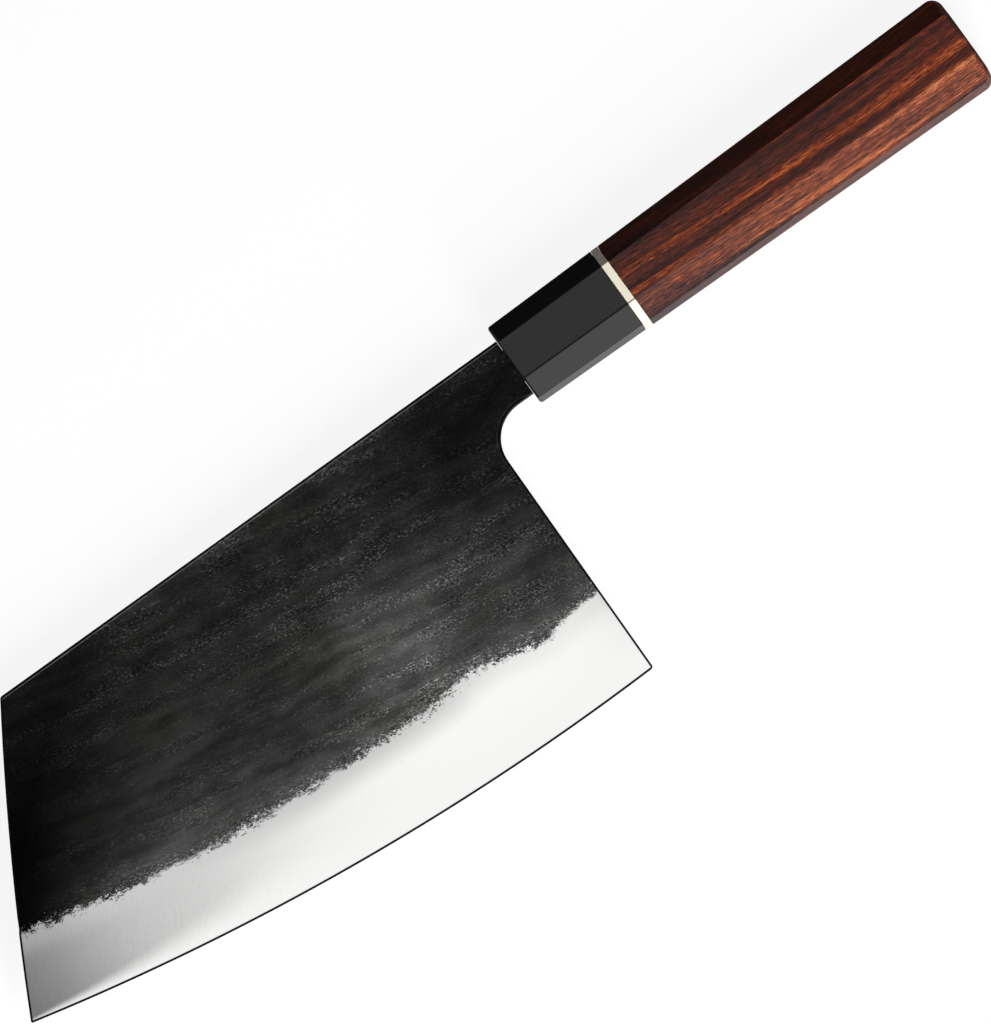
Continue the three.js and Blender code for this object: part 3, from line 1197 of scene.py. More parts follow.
@dataclass(frozen=True)
class ForgedSteel(Finish):
    """Black forge scale on the flats and a bright ground band along the edge, with painted sheen,
    reflection, highlights and edge shade in their colour.
    """

    blade: Blade = field(default_factory=Blade)
    border: Knots = (
        (-200, 22.2),
        (-182, 21.7),
        (-158, 21.5),
        (-142, 21.2),
        (-118, 21.7),
        (-104, 22.2),
        (-91, 23.2),
        (-62, 24.4),
        (-54, 26.3),
        (-40, 23.1),
        (-34, 22.4),
        (-26, 23.3),
        (-15, 23.5),
    )
    scallops: Grain = Grain((7, 4, 6), 2, 0.5, STREAK_TURN)
    teeth: Grain = Grain((1.8, 1.1, 1.2), 2, 0.6, STREAK_TURN)
    chips: Grain = Grain((0.6, 0.45, 0.5), 2, 0.75, STREAK_TURN)
    scallop_reach: float = 1.6
    tooth_reach: float = 2.4
    chip_reach: float = 2.8
    breakage: Grain = Grain((11, 7, 7), 1, 0.5)
    breakage_swing: Span = (0.45, 1.55)
    border_softness: float = 0.65
    scale_metallic: float = 0.7
    bevel_roughness: Span = (0.2, 0.38)
    scale_roughness: Span = (0.36, 0.62)
    scale_height: float = 0.03
    mark_depth: float = 0.002

    # Tone of the bright ground band, painted reflection: darker towards the tip, a painted highlight strip
    # along the edge and a lighter fringe under the border.
    band_reflection: Knots = (
        (-196, 0.18),
        (-184, 0.275),
        (-172, 0.42),
        (-158, 0.57),
        (-142, 0.66),
        (-118, 0.80),
        (-95, 0.91),
        (-72, 0.96),
        (-30, 0.96),
        (-15, 0.85),
    )
    fringe_reflection_tone: Knots = (
        (-196, 0.36),
        (-180, 0.42),
        (-165, 0.58),
        (-150, 0.63),
        (-75, 0.64),
        (-55, 0.74),
        (-35, 0.86),
        (-22, 0.8),
        (-15, 0.68),
    )
    fringe_span: Span = (0.64, 0.97)
    highlight_strip: Knots = ((-196, 0.8), (-166, 3.5), (-142, 6.5), (-105, 12.0), (-15, 12.0))
    highlight_strip_span: Span = (1.5, 0.1)
    highlight_strip_tone: float = 0.95
    brightest: float = 0.965
    marks: Grain = Grain((2.4, 0.28, 1), 2, 0.6, GRIND_TURN)
    mark_swing: Span = (0.92, 1.05)
    mark_strength: Knots = ((-196, 1.0), (-150, 0.8), (-110, 0.45), (-15, 0.4))
    dull_hue: Colour = (1.0, 1.0, 0.995)
    bright_hue: Colour = (1.0, 0.996, 0.988)
    hue_span: Span = (0.3, 0.8)

    # Tone curves of the black scale, partly painted sheen: darker at front, neck and spine, lighter at
    # belly and border.
    spine_tone: float = 0.0155
    flat_tone: Knots = ((-60, 0.031), (-40, 0.029), (-16, 0.0215), (-4, 0.017), (2, 0.0195), (7, 0.026))
    front_shade: Knots = ((0, 0.03), (3, 0.05), (10, 0.2), (19, 0.48), (30, 0.86), (40, 1.0))
    front_least: Knots = ((-45, 0.0), (-20, 0.08), (-4, 0.3), (9, 0.45))
    heel_shade: Knots = ((-70, 0.0), (-55, 0.0), (-36, 0.22), (-23, 0.56), (-12, 0.5))
    heel_light: Knots = ((-60, 1.0), (-42, 0.95), (-26, 0.4), (-12, 0.0), (9, 0.0))
    belly: Knots = ((-98, 0.0), (-82, 0.26), (-68, 0.95), (-58, 0.85), (-47, 0.42), (-32, 0.2), (-14, 0.0))
    belly_sheen_by_height: Knots = ((-60, 1.8), (-50, 1.95), (-38, 2.1), (-24, 1.0), (-10, 0.1), (9, 0.1))
    rim_sheen: Knots = ((0, 1.9), (4, 1.15), (9, 0.5), (16, 0.0))
    drift_size: float = 8.0
    drift: tuple[float, float, float] = (3.0, 3.0, 0.0)
    streaks: Grain = Grain((22, 3, 5), 3, 0.6, STREAK_TURN)
    streak_swing: Span = (0.7, 1.28)
    clouds: Grain = Grain((8, 6, 6), 3, 0.55, STREAK_TURN)
    cloud_swing: Span = (0.78, 1.22)
    tints: Grain = Grain((30, 15, 15), 2, 0.5, STREAK_TURN)
    hues: tuple[tuple[float, Colour], ...] = (
        (0.35, (0.98, 1.0, 0.995)),
        (0.5, (1.0, 1.0, 0.98)),
        (0.65, (1.0, 1.0, 0.945)),
    )

    grit: Grain = Grain((0.8, 0.34, 0.4), 2, 0.8, STREAK_TURN)
    patches: Grain = Grain((22, 3.8, 5), 3, 0.6, STREAK_TURN)
    patch_span: Span = (0.45, 0.6)
    patch_share: Span = (0.22, 1.0)
    calm_front: Knots = ((-196, 0.6), (-110, 0.6), (-75, 0.25), (-50, 0.0))
    calm_span: Span = (-8.0, -30.0)
    rim_width: float = 5.0
    spark_span: Span = (0.5, 0.78)
    spark_power: float = 1.5
    spark_gain: float = 9.0
    gap_span: Span = (0.52, 0.32)
    gap_depth: float = 0.85
    scratches: Grain = Grain((14, 0.6, 1), 2, 0.5, STREAK_TURN)
    scratch_span: Span = (0.56, 0.7)
    scratch_gain: float = 0.7
    speck_size: float = 0.5
    speck_cover: float = 0.03
    speck_tone: float = 0.05
    grit_relief: Span = (0.01, 0.05)

    # Painted dark shade along the blade's outline.
    edge_shade_width: float = 0.55
    edge_shade_softness: float = 0.12
    heel_fade: float = 1.0
    edge_shade_colour: Colour = (0.004, 0.004, 0.004)
    # Painted highlight along the spine and choil arrises.
    highlight_depth: float = 0.86
    highlight_width: float = 0.16
    highlight_core: float = 0.16 / 3
    highlight_colour: Colour = (0.19, 0.19, 0.185)
    highlight_breaks: Grain = Grain((3, 2, 2), 4, 0.75)
    highlight_swing: Span = (0.25, 1.0)
    spine_highlight: float = 0.95
    choil_highlight: float = 0.15

    def wire(self, wiring: Wiring, place: Feed, shader: bpy.types.Node) -> None:
        """Wires scale, border and bright band.

        Args:
            wiring: the material's node tree.
            place: the place on the knife in millimetres.
            shader: the Principled BSDF.
        """
        blade = self.blade
        along = wiring.axes(place)[0]
        level = wiring.vector("MULTIPLY", place, (1, 1, 0))
        reach = wiring.vector("DISTANCE", level, blade.edge_centre)
        height = wiring.math("SUBTRACT", blade.edge_radius, reach)
        border = wiring.follow(along, self.border)
        chips = wiring.grain(place, self.chips)
        over = wiring.plus(
            wiring.math("SUBTRACT", height, border),
            wiring.sway(wiring.grain(place, self.scallops), self.scallop_reach),
        )
        broken = wiring.plus(
            wiring.sway(wiring.grain(place, self.teeth), self.tooth_reach),
            wiring.sway(chips, self.chip_reach),
        )
        breakage = wiring.swing(wiring.grain(place, self.breakage), *self.breakage_swing)
        ragged = wiring.plus(over, wiring.times(broken, breakage))
        scale = wiring.step(ragged, -self.border_softness, self.border_softness)
        black, relief = self.wire_scale(wiring, place, level, over)
        bright, marks = self.wire_bevel(wiring, place, along, height, border)
        steel = wiring.tint(scale, bright, black)
        # Painted dark edge shade along the outline.
        steel = wiring.tint(self.wire_edge_shade(wiring, place, level, height), steel, self.edge_shade_colour)
        roughness = wiring.blend(
            scale,
            wiring.spread(marks, *self.bevel_roughness),
            wiring.spread(chips, *self.scale_roughness),
        )
        metallic = wiring.blend(scale, 1.0, self.scale_metallic)
        self.feed(wiring, shader, {"Base Color": steel, "Metallic": metallic, "Roughness": roughness})
        skin = wiring.times(scale, wiring.math("ADD", relief, self.scale_height))
        self.relief(wiring, shader, wiring.plus(skin, wiring.times(marks, self.mark_depth)), 1.0)

    def wire_scale(self, wiring: Wiring, place: Feed, level: Feed, over: Feed) -> tuple[Feed, Feed]:
        """Wires the black forge scale, with its painted sheen and painted arris highlight.

        Args:
            wiring: the material's node tree.
            place: the place on the knife in millimetres.
            level: the same place, brought to the blade's middle plane.
            over: the height above the border in millimetres.

        Returns:
            The scale's colour, and its relief in millimetres.
        """
        drifted = wiring.wander(place, self.drift_size, self.drift)
        grit, gritty, texture = self.wire_grit(wiring, place, drifted, over)
        tone = wiring.times(
            self.wire_tone(wiring, place, level, over),
            wiring.swing(wiring.grain(drifted, self.streaks), *self.streak_swing),
            wiring.swing(wiring.grain(drifted, self.clouds), *self.cloud_swing),
            texture,
        )
        specks = wiring.flecks(place, self.speck_size, self.speck_cover, self.speck_cover)
        tone = wiring.plus(tone, wiring.times(specks, self.speck_tone))
        hue = wiring.ramp(wiring.grain(place, self.tints), self.hues)
        relief = wiring.times(grit, wiring.spread(gritty, *self.grit_relief))
        # Painted highlight along spine and choil, mixed into the scale's colour.
        arris_highlight = self.wire_arris_highlight(wiring, place, level)
        return wiring.tint(arris_highlight, wiring.grey(tone, hue), self.highlight_colour), relief

    def wire_tone(self, wiring: Wiring, place: Feed, level: Feed, over: Feed) -> Feed:
        """Wires the scale's slow change of tone, partly painted sheen: dark at front and neck, lighter at
        belly and border.

        Args:
            wiring: the material's node tree.
            place: the place on the knife in millimetres.
            level: the same place, brought to the blade's middle plane.
            over: the height above the border in millimetres.

        Returns:
            The tone.
        """
        axes = wiring.axes(place)
        front = wiring.math(
            "MAXIMUM",
            wiring.follow(self.from_front(wiring, level), self.front_shade),
            wiring.follow(axes[1], self.front_least),
        )
        depth = wiring.math("SUBTRACT", wiring.follow(axes[1], self.flat_tone), self.spine_tone)
        belly = wiring.times(wiring.follow(axes[0], self.belly), wiring.follow(axes[1], self.belly_sheen_by_height))
        sheen_lift = wiring.math("MAXIMUM", belly, wiring.follow(over, self.rim_sheen))
        high_up = wiring.math("SUBTRACT", 1.0, wiring.follow(axes[1], self.heel_light))
        heel = wiring.times(wiring.follow(axes[0], self.heel_shade), high_up)
        # Partly painted sheen: these curves darken front and heel and raise belly and border.
        return wiring.times(
            wiring.plus(wiring.times(depth, front), self.spine_tone),
            front,
            wiring.math("ADD", sheen_lift, 1.0),
            wiring.math("SUBTRACT", 1.0, heel),
        )

    def wire_grit(
        self, wiring: Wiring, place: Feed, drifted: Feed, over: Feed
    ) -> tuple[Feed, Feed, Feed]:
        """Wires the scale's fine grit, which lies in drawn-out patches and along the border.

        Args:
            wiring: the material's node tree.
            place: the place on the knife in millimetres.
            drifted: the same place, moved to and fro.
            over: the height above the border in millimetres.

        Returns:
            The grit from 0 to 1, how much of it shows, and what it makes of the tone.
        """
        axes = wiring.axes(place)
        calm = wiring.times(wiring.follow(axes[0], self.calm_front), wiring.step(axes[1], *self.calm_span))
        rim = wiring.step(over, self.rim_width, 0)
        patch = wiring.step(wiring.grain(drifted, self.patches), *self.patch_span)
        shown = wiring.times(wiring.spread(patch, *self.patch_share), wiring.math("SUBTRACT", 1.0, calm))
        gritty = wiring.math("MAXIMUM", shown, rim)
        grit = wiring.grain(place, self.grit)
        light = wiring.math("POWER", wiring.step(grit, *self.spark_span), self.spark_power)
        dark = wiring.step(grit, *self.gap_span)
        scratch = wiring.step(wiring.grain(drifted, self.scratches), *self.scratch_span)
        texture = wiring.plus(
            1.0,
            wiring.times(gritty, light, self.spark_gain),
            wiring.times(gritty, dark, -self.gap_depth),
            wiring.times(scratch, shown, self.scratch_gain),
        )
        return grit, gritty, texture

    def wire_arris_highlight(self, wiring: Wiring, place: Feed, level: Feed) -> Feed:
        """Wires the thin broken painted highlight along spine and choil, where the eased arrises catch the
        light.

        Args:
            wiring: the material's node tree.
            place: the place on the knife in millimetres.
            level: the same place, brought to the blade's middle plane.

        Returns:
            A mask that is 1 on the line.
        """
        breaks = wiring.swing(wiring.grain(place, self.highlight_breaks), *self.highlight_swing)
        edges = (
            (self.from_spine(wiring, level), self.spine_highlight),
            (self.from_choil(wiring, level), self.choil_highlight),
        )
        lines = []
        for depth, strength in edges:
            off = wiring.math("ABSOLUTE", wiring.math("SUBTRACT", depth, self.highlight_depth))
            lines.append(wiring.times(wiring.step(off, self.highlight_width, self.highlight_core), strength))
        return wiring.times(wiring.plus(*lines), breaks)

    def wire_bevel(
        self, wiring: Wiring, place: Feed, along: Feed, height: Feed, border: Feed
    ) -> tuple[Feed, Feed]:
        """Wires the bright ground band, whose tone is painted reflection: darker towards the tip, with a
        painted highlight strip along the edge and a lighter fringe under the border.

        Args:
            wiring: the material's node tree.
            place: the place on the knife in millimetres.
            along: the place along x.
            height: the height above the edge.
            border: the height of the border above the edge.

        Returns:
            The band's colour, and its grinding marks from 0 to 1.
        """
        share = wiring.math("DIVIDE", height, border)
        marks = wiring.grain(place, self.marks)
        # Painted highlight strip along the cutting edge, over the painted reflection tone of the band.
        width = wiring.follow(along, self.highlight_strip)
        strip = wiring.step(wiring.math("DIVIDE", height, width), *self.highlight_strip_span)
        tone = wiring.blend(strip, wiring.follow(along, self.band_reflection), self.highlight_strip_tone)
        fringe = wiring.follow(along, self.fringe_reflection_tone)
        tone = wiring.blend(wiring.step(share, *self.fringe_span), tone, fringe)
        strength = wiring.follow(along, self.mark_strength)
        tone = wiring.times(tone, wiring.blend(strength, 1.0, wiring.swing(marks, *self.mark_swing)))
        hue = wiring.tint(wiring.step(tone, *self.hue_span), self.dull_hue, self.bright_hue)
        return wiring.grey(wiring.math("MINIMUM", tone, self.brightest), hue), marks

    def wire_edge_shade(self, wiring: Wiring, place: Feed, level: Feed, height: Feed) -> Feed:
        """Wires the painted dark shade along the blade's outline, standing in for the dark reflection on
        its rounded edges.

        Args:
            wiring: the material's node tree.
            place: the place on the knife in millimetres.
            level: the same place, brought to the blade's middle plane.
            height: the height above the edge.

        Returns:
            A mask that is 1 on the line.
        """
        nearest = wiring.least(
            height,
            self.from_front(wiring, level),
            self.from_spine(wiring, level),
            self.from_heel(wiring, place, level),
            self.from_choil(wiring, level),
        )
        fade = self.edge_shade_softness
        return wiring.step(nearest, self.edge_shade_width + fade, self.edge_shade_width - fade)

    def from_front(self, wiring: Wiring, level: Feed) -> Feed:
        """How far a place is from the front."""
        reach = wiring.vector("DISTANCE", level, self.blade.front_centre)
        return wiring.math("SUBTRACT", self.blade.front_radius, reach)

    def from_spine(self, wiring: Wiring, level: Feed) -> Feed:
        """How far a place is from the spine."""
        return wiring.under(level, self.blade.spine_plane())

    def from_choil(self, wiring: Wiring, level: Feed) -> Feed:
        """How far a place is from the choil's curve."""
        reach = wiring.vector("DISTANCE", level, self.blade.choil_centre)
        return wiring.math("SUBTRACT", reach, self.blade.choil_radius)

    def from_heel(self, wiring: Wiring, place: Feed, level: Feed) -> Feed:
        """How far a place is from the straight heel, and far off above it.

        Args:
            wiring: the material's node tree.
            place: the place on the knife in millimetres.
            level: the same place, brought to the blade's middle plane.

        Returns:
            The distance in millimetres.
        """
        heel, foot = self.blade.heel_plane(), self.blade.choil_foot
        up = wiring.axes(place)[1]
        far_off = wiring.step(up, foot.y, foot.y + self.heel_fade, 0, self.blade.reach)
        return wiring.plus(wiring.under(level, heel), far_off)


@dataclass(frozen=True)
class Rosewood(Finish):
    """Dark red-brown wood with straight streaks that run a little across the handle."""

    handle: Handle = field(default_factory=Handle)
    slant: float = 0.052
    slant_start: float = 35.0
    slant_end: float = 130.0
    wander_size: float = 83.0
    wander: tuple[float, float, float] = (0.0, 2.5, 2.5)
    streaks: Knots = (
        (-13, 0.485),
        (-11, 0.49),
        (-9.2, 0.52),
        (-7.4, 0.495),
        (-6.0, 0.475),
        (-4.8, 0.565),
        (-3.8, 0.46),
        (-2.5, 0.39),
        (-1.0, 0.45),
        (0.4, 0.59),
        (1.6, 0.42),
        (3.2, 0.37),
        (4.4, 0.39),
        (5.4, 0.345),
        (6.6, 0.31),
        (8.3, 0.45),
        (9.6, 0.42),
        (13, 0.43),
    )
    streak_middle: float = 0.45
    streak_contrast: Knots = ((35, 0.45), (58, 0.65), (85, 1.0), (141, 1.0))
    reddening: Knots = ((35, 0.0), (75, 0.035), (100, 0.07), (125, 0.085), (141, 0.07))
    bands: Grain = Grain((60, 1.6, 3), 3, 0.55)
    band_reach: float = 0.28
    fibres: Grain = Grain((45, 0.4, 0.6), 3, 0.62)
    fibre_reach: float = 0.34
    hairs: Grain = Grain((2.8, 0.22, 0.28), 3, 0.78)
    hair_reach: float = 0.66
    lively_span: Span = (0.42, 0.54)
    lively_share: Span = (0.7, 1.15)
    # Painted shade on the grip's facet that faces the cutting edge's side.
    flank_shade_depth: Span = (0.3, 1.0)
    flank_painted_shade: float = 0.12
    stops: tuple[tuple[float, Colour], ...] = (
        (0.22, (0.010, 0.0042, 0.0040)),
        (0.38, (0.036, 0.0130, 0.0105)),
        (0.50, (0.088, 0.0240, 0.0140)),
        (0.62, (0.205, 0.0470, 0.0190)),
        (0.74, (0.380, 0.1020, 0.0330)),
        (0.88, (0.520, 0.1850, 0.0750)),
    )
    casts: Grain = Grain((32, 1.0, 2), 2, 0.5)
    # Duller, greyer cast in the dark streaks towards the front: partly the wood's own casts, partly painted
    # sheen.
    dullness_and_sheen: Knots = ((35, 1.0), (70, 0.85), (100, 0.3), (141, 0.1))
    dull_swing: Span = (0.2, 1.1)
    dull_span: Span = (0.62, 0.44)
    # Painted sheen: the edge-side chamfer is painted duller and greyer.
    chamfer_sheen_depth: Span = (0.9, 0.1)
    chamfer_painted_sheen: float = 0.52
    warm_cast: Colour = (1.07, 0.85, 0.79)
    dull_cast: Colour = (0.90, 1.12, 1.42)
    pore_span: Span = (0.42, 0.3)
    pore_share: float = 0.6
    pore_colour: Colour = (0.010, 0.004, 0.0035)
    end_depth: float = 0.9
    end_core: float = 0.3
    end_share: float = 0.75
    end_colour: Colour = (0.014, 0.006, 0.005)
    roughness: Span = (0.34, 0.5)
    fibre_relief: float = 0.4
    relief_depth: float = 0.03

    def wire(self, wiring: Wiring, place: Feed, shader: bpy.types.Node) -> None:
        """Wires streaks, fibres, pores and the darker end grain, with painted sheen on the edge-side
        chamfer and towards the front.

        Args:
            wiring: the material's node tree.
            place: the place on the knife in millimetres.
            shader: the Principled BSDF.
        """
        along = wiring.axes(place)[0]
        laid = self.lay(wiring, place, along)
        fibres, hairs = wiring.grain(laid, self.fibres), wiring.grain(laid, self.hairs)
        figure = self.wire_figure(wiring, place, laid, fibres, hairs)
        colour = wiring.ramp(figure, self.stops)
        # Partly the wood's own casts, partly painted sheen towards the front.
        dull = wiring.times(
            wiring.swing(wiring.grain(laid, self.casts), *self.dull_swing),
            wiring.follow(along, self.dullness_and_sheen),
            wiring.step(figure, *self.dull_span),
        )
        # Painted sheen on the edge-side chamfer.
        chamfer = wiring.under(place, self.handle.facets()[Facet.EDGE_CHAMFER])
        chamfer_sheen = wiring.step(chamfer, *self.chamfer_sheen_depth, 0.0, self.chamfer_painted_sheen)
        dull = wiring.math("ADD", dull, chamfer_sheen, clamp=True)
        colour = wiring.tint(1.0, colour, wiring.tint(dull, self.warm_cast, self.dull_cast), "MULTIPLY")
        pores = wiring.step(hairs, *self.pore_span)
        colour = wiring.tint(wiring.times(pores, self.pore_share), colour, self.pore_colour)
        butt = span_of("grip")[1].x
        end = wiring.step(along, butt - self.end_depth, butt - self.end_core, 0.0, self.end_share)
        colour = wiring.tint(end, colour, self.end_colour)
        roughness = wiring.spread(fibres, *self.roughness)
        self.feed(wiring, shader, {"Base Color": colour, "Roughness": roughness})
        skin = wiring.math("SUBTRACT", wiring.times(fibres, self.fibre_relief), pores)
        self.relief(wiring, shader, skin, self.relief_depth)

    def wire_figure(self, wiring: Wiring, place: Feed, laid: Feed, fibres: Feed, hairs: Feed) -> Feed:
        """Wires how light the wood is: streaks, bands and fine grain that is calmer in the dark streaks,
        with painted shade on the edge-side facet.

        Args:
            wiring: the material's node tree.
            place: the place on the knife in millimetres.
            laid: the place in the wood's own grain.
            fibres: the long fine grain.
            hairs: the short fine grain.

        Returns:
            A value from 0, dark, to 1, light.
        """
        along, middle = wiring.axes(place)[0], self.streak_middle
        streak = wiring.follow(wiring.axes(laid)[1], self.streaks)
        streak = wiring.blend(wiring.follow(along, self.streak_contrast), middle, streak)
        fine = wiring.plus(wiring.sway(fibres, self.fibre_reach), wiring.sway(hairs, self.hair_reach))
        lively = wiring.step(streak, *self.lively_span, *self.lively_share)
        # Painted shade: the edge-side facet is darker.
        flank = wiring.under(place, self.handle.facets()[Facet.EDGE_SIDE])
        return wiring.plus(
            streak,
            wiring.follow(along, self.reddening),
            wiring.sway(wiring.grain(laid, self.bands), self.band_reach),
            wiring.times(fine, lively),
            wiring.step(flank, *self.flank_shade_depth, -self.flank_painted_shade, 0.0),
        )

    def lay(self, wiring: Wiring, place: Feed, along: Feed) -> Feed:
        """Lays the grain on a slant that straightens towards the butt, with a slow wander.

        Args:
            wiring: the material's node tree.
            place: the place on the knife in millimetres.
            along: the place along x.

        Returns:
            The place in the wood's own grain.
        """
        run = wiring.math("SUBTRACT", along, self.slant_start)
        bend = wiring.times(run, -self.slant / 2 / (self.slant_end - self.slant_start))
        drop = wiring.times(run, wiring.math("ADD", bend, self.slant))
        shift = wiring.add("ShaderNodeCombineXYZ", {1: drop}).outputs[0]
        return wiring.wander(wiring.vector("ADD", place, shift), self.wander_size, self.wander)


@dataclass(frozen=True)
class CreamResin(Finish):
    """Cream resin with faint clouds and flecks, and where set a line of painted shade along an arris."""

    line: PaintedArrisShade | None = None
    clear: Colour = (0.985, 0.92, 0.755)
    clouded: Colour = (0.94, 0.86, 0.685)
    fleck: Colour = (0.76, 0.66, 0.49)
    clouds: Grain = Grain((2.5, 4, 4), 4, 0.6)
    cloud_span: Span = (0.35, 0.7)
    fleck_size: float = 0.5
    fleck_cover: float = 0.12
    fleck_softness: float = 0.05
    fleck_share: float = 0.3
    roughness: Span = (0.22, 0.4)
    relief_depth: float = 0.008

    def wire(self, wiring: Wiring, place: Feed, shader: bpy.types.Node) -> None:
        """Wires clouds and flecks.

        Args:
            wiring: the material's node tree.
            place: the place on the knife in millimetres.
            shader: the Principled BSDF.
        """
        clouds = wiring.grain(place, self.clouds)
        flecks = wiring.flecks(place, self.fleck_size, self.fleck_cover, self.fleck_softness)
        colour = wiring.tint(wiring.step(clouds, *self.cloud_span), self.clear, self.clouded)
        colour = wiring.tint(wiring.times(flecks, self.fleck_share), colour, self.fleck)
        # Painted shade along the lower arris.
        if self.line:
            colour = wiring.darkened(colour, self.line.wire(wiring, place))
        roughness = wiring.spread(clouds, *self.roughness)
        self.feed(wiring, shader, {"Base Color": colour, "Roughness": roughness})
        self.relief(wiring, shader, clouds, self.relief_depth)


@dataclass(frozen=True)
class MattFill(Finish):
    """A matt filler that sets in a joint, with fine pits."""

    dark: Colour = (0.006, 0.006, 0.006)
    light: Colour = (0.014, 0.014, 0.014)
    mottle: Grain = Grain((1.5, 1.5, 1.5), 4, 0.6)
    pit_size: float = 0.4
    pit_cover: float = 0.15
    pit_softness: float = 0.05
    pit_share: float = 0.5
    roughness: Span = (0.6, 0.85)
    relief_depth: float = 0.02

    def wire(self, wiring: Wiring, place: Feed, shader: bpy.types.Node) -> None:
        """Wires mottling and pits.

        Args:
            wiring: the material's node tree.
            place: the place on the knife in millimetres.
            shader: the Principled BSDF.
        """
        mottle = wiring.grain(place, self.mottle)
        pits = wiring.flecks(place, self.pit_size, self.pit_cover, self.pit_softness)
        colour = wiring.tint(mottle, self.dark, self.light)
        colour = wiring.tint(wiring.times(pits, self.pit_share), colour, self.dark)
        roughness = wiring.spread(mottle, *self.roughness)
        self.feed(wiring, shader, {"Base Color": colour, "Roughness": roughness})
        self.relief(wiring, shader, wiring.math("SUBTRACT", mottle, pits), self.relief_depth)


@dataclass(frozen=True)
class PlainWood(Finish):
    """Close-grained wood with faint lengthwise grain, and where set a line of painted shade along an arris.
    """

    dark: Colour = (0.008, 0.008, 0.009)
    light: Colour = (0.014, 0.013, 0.013)
    roughness: Span = (0.24, 0.4)
    grain: Grain = Grain((30, 0.8, 0.8), 5, 0.6)
    relief_depth: float = 0.02
    line: PaintedArrisShade | None = None

    def wire(self, wiring: Wiring, place: Feed, shader: bpy.types.Node) -> None:
        """Wires the grain.

        Args:
            wiring: the material's node tree.
            place: the place on the knife in millimetres.
            shader: the Principled BSDF.
        """
        grain = wiring.grain(place, self.grain)
        colour = wiring.tint(grain, self.dark, self.light)
        roughness = wiring.spread(grain, *self.roughness)
        # Painted shade along the lower arris, matt on the line.
        if self.line:
            kept = self.line.wire(wiring, place)
            colour = wiring.darkened(colour, kept)
            roughness = wiring.blend(kept, 1.0, roughness)
        self.feed(wiring, shader, {"Base Color": colour, "Roughness": roughness})
        self.relief(wiring, shader, grain, self.relief_depth)


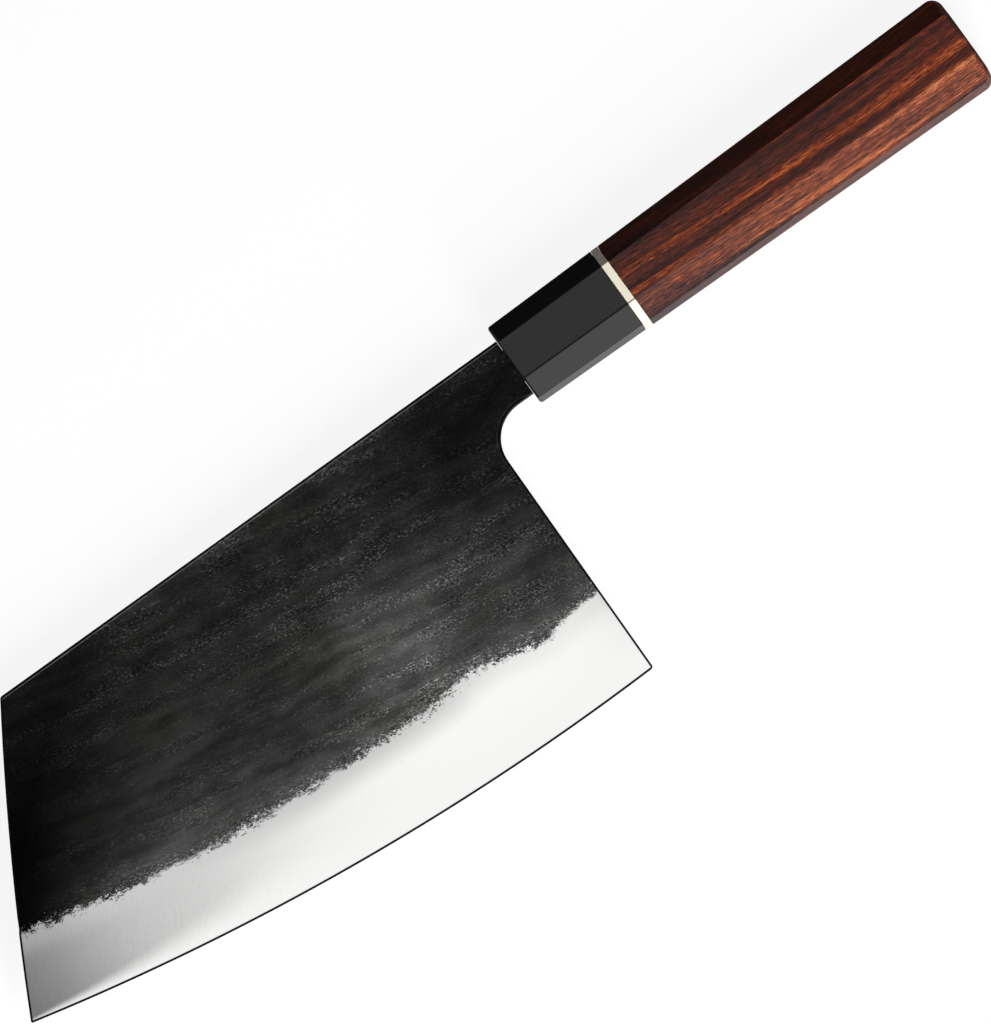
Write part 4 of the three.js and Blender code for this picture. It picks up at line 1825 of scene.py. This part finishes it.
@dataclass
class Studio:
    """Camera, lights, floor and surroundings."""

    lens: float = 1000.0
    sensor: float = 36.0
    sight: float = 100.0
    tilt: float = 8.5
    roll: float = 35.88
    aim: tuple[float, float, float] = (-25.45, -27.5, 0.0)
    view_height: float = 258.6
    key_rise: float = 39.0
    key_distance: float = 1.0
    key_size: Span = (0.9, 0.35)
    key_power: float = 16.0
    ambient: float = 0.03
    strips: Knots = (
        (-180, 0.0),
        (-98, 0.0),
        (-75, 0.06),
        (-53, 0.75),
        (-30, 1.05),
        (5, 1.05),
        (22, 0.6),
        (36, 0.1),
        (56, 0.25),
        (66, 0.55),
        (75, 2.45),
        (91, 2.65),
        (108, 0.8),
        (130, 0.75),
        (172, 0.6),
    )
    strip_ends: Span = (0.2, 0.42)
    sky_rise: Span = (-0.1, 0.35)
    sky_light: Span = (0.25, 0.8)
    floor_glow: float = 0.9
    floor_paint: float = 0.13
    floor_bounce: float = 0.4
    floor_size: float = 12.0
    floor_fade: Span = (0.3, 0.7)

    def set_up(self) -> None:
        """Places camera, lights, floor and surroundings."""
        self.place_camera()
        self.place_key()
        self.light_world()
        self.lay_floor()
        bpy.context.scene.view_settings.view_transform = "Standard"

    def place_camera(self) -> None:
        """Places the camera at the photograph's viewing angle."""
        tilt, roll = math.radians(self.tilt), math.radians(self.roll)
        towards = Vector((0, -math.sin(tilt), math.cos(tilt)))
        level_up = Vector((0, math.cos(tilt), math.sin(tilt)))
        along = Vector((1, 0, 0))
        right = along * math.cos(roll) - level_up * math.sin(roll)
        up = along * math.sin(roll) + level_up * math.cos(roll)
        distance = self.lens / self.sensor * self.view_height * MM
        camera = bpy.data.objects.new("camera", bpy.data.cameras.new("camera"))
        camera.data.lens = self.lens
        camera.data.sensor_width = self.sensor
        camera.data.clip_end = self.sight
        turn = Matrix((right, up, towards)).transposed()
        place = ORIGIN + Vector(self.aim) * MM + towards * distance
        camera.matrix_world = Matrix.LocRotScale(place, turn, None)
        bpy.context.scene.collection.objects.link(camera)
        bpy.context.scene.camera = camera

    def place_key(self) -> None:
        """Places the large soft lamp on the cutting edge's side."""
        rise = math.radians(self.key_rise)
        towards = Vector((0, -math.cos(rise), math.sin(rise)))
        lamp = bpy.data.lights.new("key", "AREA")
        lamp.shape = "RECTANGLE"
        lamp.size, lamp.size_y = self.key_size
        lamp.energy = self.key_power
        key = bpy.data.objects.new("key", lamp)
        key.matrix_world = Matrix.LocRotScale(
            towards * self.key_distance, towards.to_track_quat("Z", "X"), None
        )
        key.visible_glossy = False
        key.visible_camera = False
        bpy.context.scene.collection.objects.link(key)

    def light_world(self) -> None:
        """Lights the surroundings: white to the camera, strip lights along the knife in reflections."""
        world = bpy.data.worlds.new("studio")
        world.use_nodes = True
        bpy.context.scene.world = world
        wiring = Wiring(world.node_tree)
        background = world.node_tree.nodes["Background"]
        path = wiring.add("ShaderNodeLightPath").outputs
        view = wiring.add("ShaderNodeTexCoord").outputs["Generated"]
        axes = wiring.axes(view)
        turn = wiring.math("ARCTAN2", wiring.math("MULTIPLY", axes[1], -1.0), axes[2])
        share = wiring.spread(turn, HALF, HALF + HALF / math.pi)
        half_turn = FULL_TURN / 2
        stops = [((angle + half_turn) / FULL_TURN, (light,) * 3) for angle, light in self.strips]
        strips = wiring.ramp(share, stops)
        sky = wiring.step(axes[2], *self.sky_rise, *self.sky_light)
        aside = wiring.step(wiring.math("ABSOLUTE", axes[0]), *self.strip_ends)
        reflected = wiring.tint(aside, strips, sky)
        seen = wiring.math("ADD", path["Is Glossy Ray"], path["Is Transmission Ray"], clamp=True)
        ambient = wiring.tint(seen, (self.ambient, self.ambient, self.ambient), reflected)
        shown = wiring.tint(path["Is Camera Ray"], ambient, (1.0, 1.0, 1.0))
        wiring.tree.links.new(shown, background.inputs["Color"])

    def lay_floor(self) -> None:
        """Lays the plain white floor under the knife."""
        bpy.ops.object.select_all(action="DESELECT")
        bpy.ops.mesh.primitive_plane_add(size=self.floor_size)
        floor = bpy.context.active_object
        floor.name = "floor"
        material = bpy.data.materials.new("white_floor")
        material.use_nodes = True
        wiring = Wiring(material.node_tree)
        nodes = material.node_tree.nodes
        nodes.remove(nodes["Principled BSDF"])
        path = wiring.add("ShaderNodeLightPath").outputs
        centre = wiring.add("ShaderNodeTexCoord").outputs["Object"]
        away = wiring.vector("LENGTH", centre)
        far = wiring.step(away, *self.floor_fade)
        glow = wiring.add("ShaderNodeEmission", {"Strength": wiring.blend(far, self.floor_glow, 1.0)})
        white = wiring.blend(far, self.floor_paint, 0.0)
        paint = wiring.add("ShaderNodeBsdfDiffuse", {"Color": white})
        seen = wiring.add("ShaderNodeAddShader", {0: glow.outputs[0], 1: paint.outputs[0]})
        level = self.floor_bounce
        bounce = wiring.add("ShaderNodeBsdfDiffuse", {"Color": (level, level, level, 1)})
        feeds = {0: path["Is Camera Ray"], 1: bounce.outputs[0], 2: seen.outputs[0]}
        mixed = wiring.add("ShaderNodeMixShader", feeds)
        wiring.tree.links.new(mixed.outputs[0], nodes["Material Output"].inputs["Surface"])
        floor.data.materials.append(material)
        floor.visible_glossy = False


def dress(piece: bpy.types.Object, finish: Finish) -> None:
    """Gives an object one finish all over."""
    piece.data.materials.clear()
    piece.data.materials.append(finish.material())


def main() -> None:
    """Builds the knife and its studio."""
    logging.basicConfig(level=logging.INFO, format="%(name)s: %(message)s")
    blade, handle = Blade(), Handle()
    pieces = {"blade": blade.build(), **handle.build()}
    arris_shade = handle.lower_arris_shade()
    finishes = {
        "blade": ForgedSteel("forged_steel", specular=0.05, blade=blade),
        "ferrule": PlainWood("black_wood", specular=0.3, line=arris_shade),
        "spacer": CreamResin("cream_resin", specular=0.35, line=arris_shade),
        "grip": Rosewood("rosewood", specular=0.18, handle=handle),
    }
    for node, piece in pieces.items():
        dress(piece, finishes[node])
        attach(piece, "root")
        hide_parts(node)
        LOG.info("%s stands for %s: %d faces", piece.name, node, len(piece.data.polygons))
    hardwood = {"dark": (0.42, 0.24, 0.11), "light": (0.56, 0.35, 0.17), "roughness": (0.52, 0.68)}
    dowel_wood = PlainWood("dowel_wood", **hardwood)
    glue = MattFill("cured_glue", dark=(0.28, 0.23, 0.14), light=(0.42, 0.36, 0.24))
    carried = {
        MattFill("black_seal", specular=0.25): ("mouth_seal",),
        glue: ("tang_bedding",),
        dowel_wood: ("dowel_left", "dowel_right"),
    }
    for finish, nodes in carried.items():
        material = finish.material()
        for node in nodes:
            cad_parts[node].material_slots[0].material = material
            LOG.info("%s keeps its solid and wears %s", node, finish.name)
    Studio().set_up()


if __name__ == "__main__":
    main()
